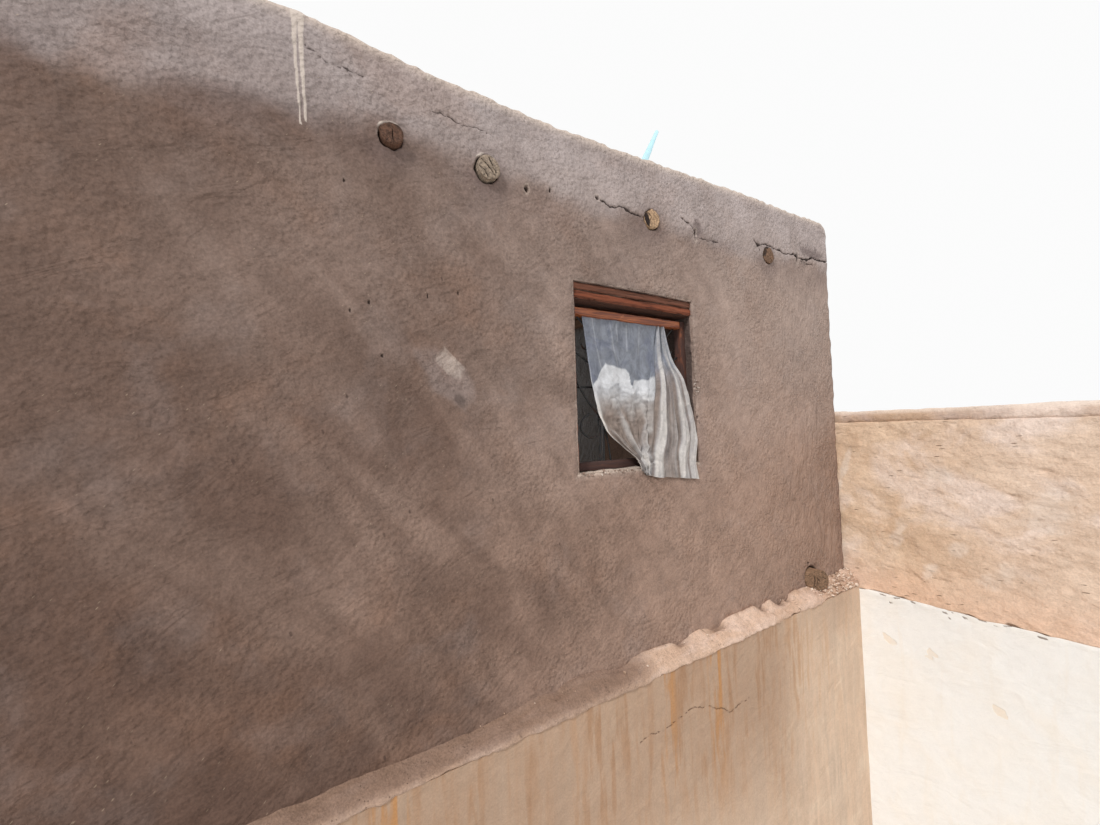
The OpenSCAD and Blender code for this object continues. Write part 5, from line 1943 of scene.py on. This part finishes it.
def sheet_place(u, v, fold):
    """Where the sheet's cloth hangs: u runs from its left hem to its right, v from top to bottom."""
    ridge = 0.5
    if u < ridge:
        share = u / ridge
        spread = share ** (1 + 0.3 * v)
        flat = along_line(LEFT_HEM, v).lerp(along_line(RIDGE, v), spread)
        slow = math.sin(share * math.tau * 3.2 + 0.9 * math.sin(v * 3)) * (0.35 + 0.65 * share)
        fast = math.sin(share * math.tau * 8.3 + 2.0 * v + 1.5 * share) * rise(v, 0.5, 0.75)
        out = 0.004 + 0.075 * rise(v, 0.55, 1.0) + 0.02 * v
        out += fold * ((0.25 + 0.8 * v ** 2) * slow + 0.28 * fast)
        out += 0.007 * (1 - rise(abs(v - 0.45), 0.05, 0.16)) * ripple(u * 17, v * 17, 6)
        out += gathers(flat) * 0.014
        rumpled = rise(flat.y, 0.16, 0.28) * (1 - rise(flat.y, 0.44, 0.56)) * rise(share, 0.05, 0.25)
        spot = Vector((flat.x * 1.2, flat.y * 1.9, 2))
        out += 0.016 * rumpled * abs(noise.noise(spot / 0.085))
        out += 0.006 * rumpled * noise.noise(spot / 0.035)
    else:
        share = (u - ridge) / (1 - ridge)
        flat = along_line(RIDGE, v).lerp(along_line(RIGHT_HEM, v), share)
        sway = share + 0.03 * math.sin(v * 5) + 0.025 * ripple(share * 3, v * 3, 8)
        grown = 0.35 + 0.75 * math.sin(math.pi * min(v * 1.05 + 0.05, 1)) + 0.25 * v
        out = 0.004 + 0.080 * rise(v, 0.02, 0.42) + 0.012 * v + fold * grown * eased(FAN_FOLDS, sway)
        out += 0.002 * math.sin(share * 60 + 9 * v) * rise(v, 0.15, 0.4)
    crumple = hill(flat.x - 0.50, 0.07) * hill(flat.y - 0.04, 0.12)
    spot = Vector((flat.x, flat.y, 0))
    out += 0.0035 * noise.noise(spot / 0.07) + 0.026 * crumple * noise.noise(spot / 0.035)
    out += 0.006 * ripple(u * 7, v * 2.2, 4)
    sag = 0.010 * ripple(u * 9, 3, 0) * rise(v, 0.8, 1.0)
    place = Vector((WINDOW_LOW.x + flat.x, FRONT + 0.082 - out, WINDOW_LOW.z + flat.y + sag))
    if place.z < WINDOW_LOW.z + 0.02 or place.x > WINDOW_HIGH.x - 0.02:
        place.y = min(place.y, FRONT - 0.010)
    return place


def sheet_marks(u, v, place):
    """Where the cloth is white, dirty or thin, and where painted sunlight, painted fold light and
    painted fold shade lie on it.
    """
    across, up = place.x - WINDOW_LOW.x, place.z - WINDOW_LOW.z
    # painted sunlight: on the left the cloth is white below this ragged painted shadow edge
    ragged = read_off([(0.15, 0.485), (0.20, 0.532), (0.245, 0.60), (0.272, 0.635), (0.31, 0.620),
                       (0.43, 0.600), (0.452, 0.583), (0.463, 0.512), (0.480, 0.508), (0.493, 0.537),
                       (0.60, 0.543), (1.0, 0.70)], across)
    ragged += 0.012 * ripple(across * 22, up * 22, 1)
    white = 1 - rise(up, ragged - 0.007, ragged + 0.007)
    fold = gathers(Vector((across, up, 0)))
    low_edge = 0.375 - 0.10 * (across - 0.35) + 0.10 * ripple(across * 12, up * 9, 0)
    fan = rise(u, 0.495, 0.515)
    torn = read_off([(0.15, 0.475), (0.28, 0.490), (0.37, 0.510), (0.40, 0.468), (0.47, 0.460),
                     (0.60, 0.410)], across) + 0.03 * ripple(across * 16, up * 16, 3)
    stain = 0.58 * (1 - rise(up, low_edge - 0.11, low_edge + 0.07)) * rise(u, 0.02, 0.05)
    stain += 0.38 * (1 - rise(up, torn - 0.012, torn + 0.012)) * rise(u, 0.02, 0.05)
    stain *= 1.0 - 0.55 * max(fold, 0.0)
    # the fan's pale bands: doubled cloth and painted light on the folds
    double = eased(FAN_DOUBLE_AND_FOLD_LIGHT, (u - 0.5) * 2 + 0.02 * ripple(u * 5, v * 5, 2))
    streaks = 0.16 * ripple(u * 60, v * 2.5, 3)
    double = (double + streaks) * (0.35 + 0.65 * rise(v, 0.05, 0.35))
    crease = max(1 - rise(off_line(across, up, line), 0.001, 0.008) for line in THIN_CREASES)
    hem = 1 - rise(min(u, 1 - u, (1 - v) * 1.3), 0.004, 0.012)
    knot = hill(across - 0.50, 0.05) * hill(up - 0.03, 0.09)
    left_pale = max(white * (1 - 0.75 * stain), 0.35 * crease)
    pale = left_pale + (double - left_pale) * fan
    pale = max(pale, 0.9 * knot, 0.85 * hem * rise(v, 0.15, 0.4))
    # painted fold shade between the pale bands, with dirt
    fan_shade_and_dirt = (1 - double) * rise(v, 0.10, 0.40)
    stain = (stain * (1 - fan) + fan_shade_and_dirt * fan) * (1 - knot)
    left_cover = max(white * (1 - 0.35 * stain), 0.3 * crease, 0.2)
    cover = left_cover + (0.62 + 0.38 * double - left_cover) * fan
    warm = 1 - rise(up, 0.30, 0.50)
    return pale, stain, max(cover, hem, knot), max(fan, knot, warm)


class HOUSE_OT_sheet(bpy.types.Operator):
    """Hangs the thin sheet from the window's frame"""

    bl_idname = "house.sheet"
    bl_label = "Window sheet"

    def execute(self, context):
        settings = context.scene.house_sheet
        across, down = 200, 170
        bm = new_shape()
        threads = bm.loops.layers.uv.new("cloth")
        bmesh.ops.create_grid(bm, x_segments=across, y_segments=down, size=0.5)
        layers = marks_of(bm, "pale", "stain", "worn", "tone").values()
        for face in bm.faces:
            for loop in face.loops:
                loop[threads].uv = (loop.vert.co.x + 0.5, loop.vert.co.y + 0.5)
        for vertex in bm.verts:
            u, v = vertex.co.x + 0.5, 0.5 - vertex.co.y
            place = sheet_place(u, v, settings.fold)
            for layer, value in zip(layers, sheet_marks(u, v, place)):
                vertex[layer] = min(max(value, 0.0), 1.0)
            vertex.co = place
        for face in bm.faces:
            face.smooth = True
        area = sum(face.calc_area() for face in bm.faces)
        piece = set_down("hung_sheet", bm, thin_cloth(settings), "sheet", "window_sheet")
        thick = piece.modifiers.new("thickness", "SOLIDIFY")
        thick.thickness = settings.thickness
        thick.offset = 0
        return {"FINISHED"}


# Roof, floor, door and stake


def mat_of_canes(node, count, seed):
    """A mat of canes laid side by side along X, on the box of its node."""
    low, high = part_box(node)
    rng = random.Random(seed)
    shapes = []
    pitch = (high.y - low.y) / count
    for number in range(count):
        radius = min(pitch, high.z - low.z) * rng.uniform(0.40, 0.5)
        centre = Vector(((low.x + high.x) / 2, low.y + pitch * (number + 0.5),
                         low.z + radius + rng.uniform(0, high.z - low.z - 2 * radius)))
        bm = new_shape()
        lie = Matrix.Translation(centre) @ Matrix.Rotation(math.radians(90), 4, "Y")
        bmesh.ops.create_cone(bm, cap_ends=True, segments=7, radius1=radius, radius2=radius * 0.9,
                              depth=high.x - low.x - rng.uniform(0.0, 0.05), matrix=lie)
        layer = bm.verts.layers.float["tone"]
        tint = rng.random()
        for vertex in bm.verts:
            vertex[layer] = tint
        softened(bm, 60)
        shapes.append(bm)
    return shapes


def earth_slab(node, pitch, rough):
    """A slab of beaten earth with an uneven top."""
    bm = block(*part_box(node), pitch, 0.012)

    def rule(wear, co, facing):
        if facing.z > 0.3:
            wear.out = lump(co, 0.9, rough) + lump(co, 0.22, rough * 0.6)
            wear.out += lump(co, 0.07, 0.002) - rough
    raise_by(bm, rule)
    softened(bm, 60)
    return bm


class HOUSE_OT_roof_and_floor(bpy.types.Operator):
    """Lays the reed mats and the beaten earth over the poles and joists"""

    bl_idname = "house.roof_and_floor"
    bl_label = "Roof and floor"

    def execute(self, context):
        timbers, plaster = context.scene.house_timber, context.scene.house_plaster
        reed = reed_canes(timbers)
        earth = beaten_earth(plaster)
        set_down("roof_canes", mat_of_canes("roof_mat", timbers.canes, 3), reed, "reed", "roof_mat")
        set_down("floor_canes", mat_of_canes("floor_mat", timbers.canes, 4), reed, "reed", "floor_mat")
        set_down("roof_earth_slab", earth_slab("roof_earth", 0.04, 0.006), earth, "beaten_earth",
                 "roof_earth")
        set_down("floor_earth_slab", earth_slab("floor_earth", 0.06, 0.004), earth, "beaten_earth",
                 "floor_earth")
        return {"FINISHED"}


class HOUSE_OT_doorway(bpy.types.Operator):
    """Fits the boards of the doorway"""

    bl_idname = "house.doorway"
    bl_label = "Doorway"

    def execute(self, context):
        settings = context.scene.house_timber
        finish = timber("door_timber", settings.door, settings.grey, 0.34)
        for number, part in enumerate(("lintel", "frame_head", "left_jamb", "right_jamb", "threshold")):
            node = f"door_{part}"
            shapes = boards_of(node, 20 + number, 0.35 + 0.1 * (number % 3), wear=1.4, worn=0.2)
            set_down(f"{node}_board", shapes, finish, "door_timber", node)
        return {"FINISHED"}


class HOUSE_OT_stake(bpy.types.Operator):
    """Sets the painted stake in the parapet"""

    bl_idname = "house.stake"
    bl_label = "Roof stake"

    def execute(self, context):
        settings = context.scene.house_timber
        bm = new_shape()
        bm.from_mesh(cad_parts["roof_stake"].data)
        bmesh.ops.remove_doubles(bm, verts=bm.verts, dist=1e-5)
        bmesh.ops.dissolve_limit(bm, angle_limit=0.02, verts=bm.verts, edges=bm.edges)
        bevelled(bm, bm.edges[:], 0.003, 2)
        lean = Vector((math.sin(math.radians(28)), 0, math.cos(math.radians(28))))
        low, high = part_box("roof_stake")
        foot = Vector((low.x, low.y, low.z))
        reach = (high - foot).dot(lean)
        start = foot.dot(lean)
        slice_at(bm, lean, [start + reach * share / 26 for share in range(1, 26)])
        grain = bm.verts.layers.float_vector["grain"]
        worn = bm.verts.layers.float["worn"]
        sides = [vertex.co.x * lean.z - vertex.co.z * lean.x for vertex in bm.verts]
        middle = (min(sides) + max(sides)) / 2
        noise.seed_set(1)  # noise_vector() starts from the clock without a seed
        for vertex in bm.verts:
            along = vertex.co.dot(lean) - start
            side = vertex.co.x * lean.z - vertex.co.z * lean.x
            vertex[grain] = Vector((side, vertex.co.y, along))
            vertex[worn] = rise(along, reach - 0.03, reach) + 0.4 * abs(noise.noise(vertex.co / 0.03))
            narrower = 0.42 * rise(along, 0.22, reach) * (side - middle)
            vertex.co -= Vector((lean.z, 0, -lean.x)) * narrower
            vertex.co += 0.0012 * noise.noise_vector(Vector((side, vertex.co.y, along * 0.2)) / 0.02)
        softened(bm, 45)
        set_down("painted_stake", bm, stake_paint(settings), "stake_paint", "roof_stake")
        return {"FINISHED"}


# The studio


# Where the photo was taken from, and how the camera was turned: from +Y towards +X, up, and tilted
CAMERA_PLACE = (-1.446, -2.456, 4.185)
CAMERA_TURNS = (32.4067, 2.0085, 1.8178)
SEEN_SKY = 0.97  # how bright the camera sees the even light


class HOUSE_OT_stage(bpy.types.Operator):
    """Sets the camera, the pale floor, the even light and the lamps"""

    bl_idname = "house.stage"
    bl_label = "Stage"

    def execute(self, context):
        settings = context.scene.house_stage
        self.set_camera(context, settings)
        self.set_floor(settings)
        self.set_light(context, settings)
        context.scene.view_settings.view_transform = "Standard"
        return {"FINISHED"}

    def set_camera(self, context, settings):
        yaw, pitch, roll = (math.radians(angle) for angle in CAMERA_TURNS)
        ahead = Vector((math.sin(yaw) * math.cos(pitch), math.cos(yaw) * math.cos(pitch),
                        math.sin(pitch)))
        right = Vector((math.cos(yaw), -math.sin(yaw), 0))
        down = ahead.cross(right)
        tilted_right = right * math.cos(roll) + down * math.sin(roll)
        tilted_down = down * math.cos(roll) - right * math.sin(roll)
        turn = Matrix((tilted_right, -tilted_down, -ahead)).transposed().to_4x4()
        camera = bpy.data.objects.new("camera", bpy.data.cameras.new("camera"))
        camera.data.sensor_width = 36
        camera.data.lens = settings.lens
        camera.data.clip_start = 0.05
        camera.data.clip_end = 200
        camera.matrix_world = Matrix.Translation(CAMERA_PLACE) @ turn
        context.collection.objects.link(camera)
        context.scene.camera = camera

    def set_floor(self, settings):
        bm = bmesh.new()
        bmesh.ops.create_grid(bm, x_segments=1, y_segments=1, size=60)
        mesh = bpy.data.meshes.new("floor")
        bmesh.ops.translate(bm, vec=(0, 0, -0.002), verts=bm.verts)
        bm.to_mesh(mesh)
        bm.free()
        floor = bpy.data.objects.new("floor", mesh)
        bpy.context.collection.objects.link(floor)
        finish = Finish("floor")
        finish.colour = tuple(settings.floor)
        mesh.materials.append(finish.finished(0.95, shine=0.0))

    def set_light(self, context, settings):
        world = bpy.data.worlds.new("studio")
        context.scene.world = world
        studio = Finish("studio", world)
        camera, glossy, through = (studio.node("LightPath", output=f"Is {kind} Ray")
                                   for kind in ("Camera", "Glossy", "Transmission"))
        seen = (camera + glossy + through).clamped()
        strength = settings.sky + seen * (SEEN_SKY - settings.sky)
        light = studio.node("Background", None, {"Color": (1, 1, 1, 1), "Strength": strength})
        studio.ended(light, "OutputWorld")
        for name, strength, towards, spread in (
                ("key", settings.key, Vector((-0.66, -0.36, 0.66)), 7),
                ("front_fill", settings.fill, Vector((0.5, -0.8, 0.35)), 40),
                ("back_fill", settings.fill * 1.2, Vector((0.75, 0.5, 0.45)), 40)):
            lamp = bpy.data.lights.new(name, "SUN")
            lamp.energy = strength
            lamp.angle = math.radians(spread)
            placed = bpy.data.objects.new(name, lamp)
            placed.rotation_mode = "QUATERNION"
            placed.rotation_quaternion = towards.to_track_quat("Z", "Y")
            context.collection.objects.link(placed)
        middle = (ROOM_LOW + ROOM_HIGH) / 2
        for name, up in (("upper_room", 4.7), ("lower_room", 2.2)):
            lamp = bpy.data.lights.new(name, "POINT")
            lamp.energy = settings.rooms
            lamp.shadow_soft_size = 0.3
            placed = bpy.data.objects.new(name, lamp)
            placed.location = (middle.x, middle.y + 0.4, up)
            context.collection.objects.link(placed)


# The panel and the run


SETTINGS = {"house_plaster": PlasterSettings, "house_timber": TimberSettings,
            "house_sheet": SheetSettings, "house_stage": StageSettings}
OPERATORS = (HOUSE_OT_upper_walls, HOUSE_OT_lower_walls, HOUSE_OT_ledge, HOUSE_OT_courtyard_wall,
             HOUSE_OT_round_timbers, HOUSE_OT_roof_and_floor, HOUSE_OT_window, HOUSE_OT_sheet,
             HOUSE_OT_doorway, HOUSE_OT_stake, HOUSE_OT_stage)


class HOUSE_PT_panel(bpy.types.Panel):
    """Lists the house's settings and the pieces to build"""

    bl_idname = "HOUSE_PT_panel"
    bl_label = "Adobe House"
    bl_space_type = "VIEW_3D"
    bl_region_type = "UI"
    bl_category = "House"

    def draw(self, context):
        for name, group in SETTINGS.items():
            column = self.layout.box().column()
            for field in group.__annotations__:
                column.prop(getattr(context.scene, name), field)
        column = self.layout.column()
        for operator in OPERATORS:
            column.operator(operator.bl_idname)


def register():
    for made in (*SETTINGS.values(), *OPERATORS, HOUSE_PT_panel):
        bpy.utils.register_class(made)
    for name, group in SETTINGS.items():
        setattr(bpy.types.Scene, name, PointerProperty(type=group))


def unregister():
    for name in SETTINGS:
        delattr(bpy.types.Scene, name)
    for made in reversed((*SETTINGS.values(), *OPERATORS, HOUSE_PT_panel)):
        bpy.utils.unregister_class(made)


def main():
    """Builds every piece."""
    register()
    for operator in OPERATORS:
        getattr(bpy.ops.house, operator.bl_idname.split(".")[1])()


if __name__ == "__main__":
    main()
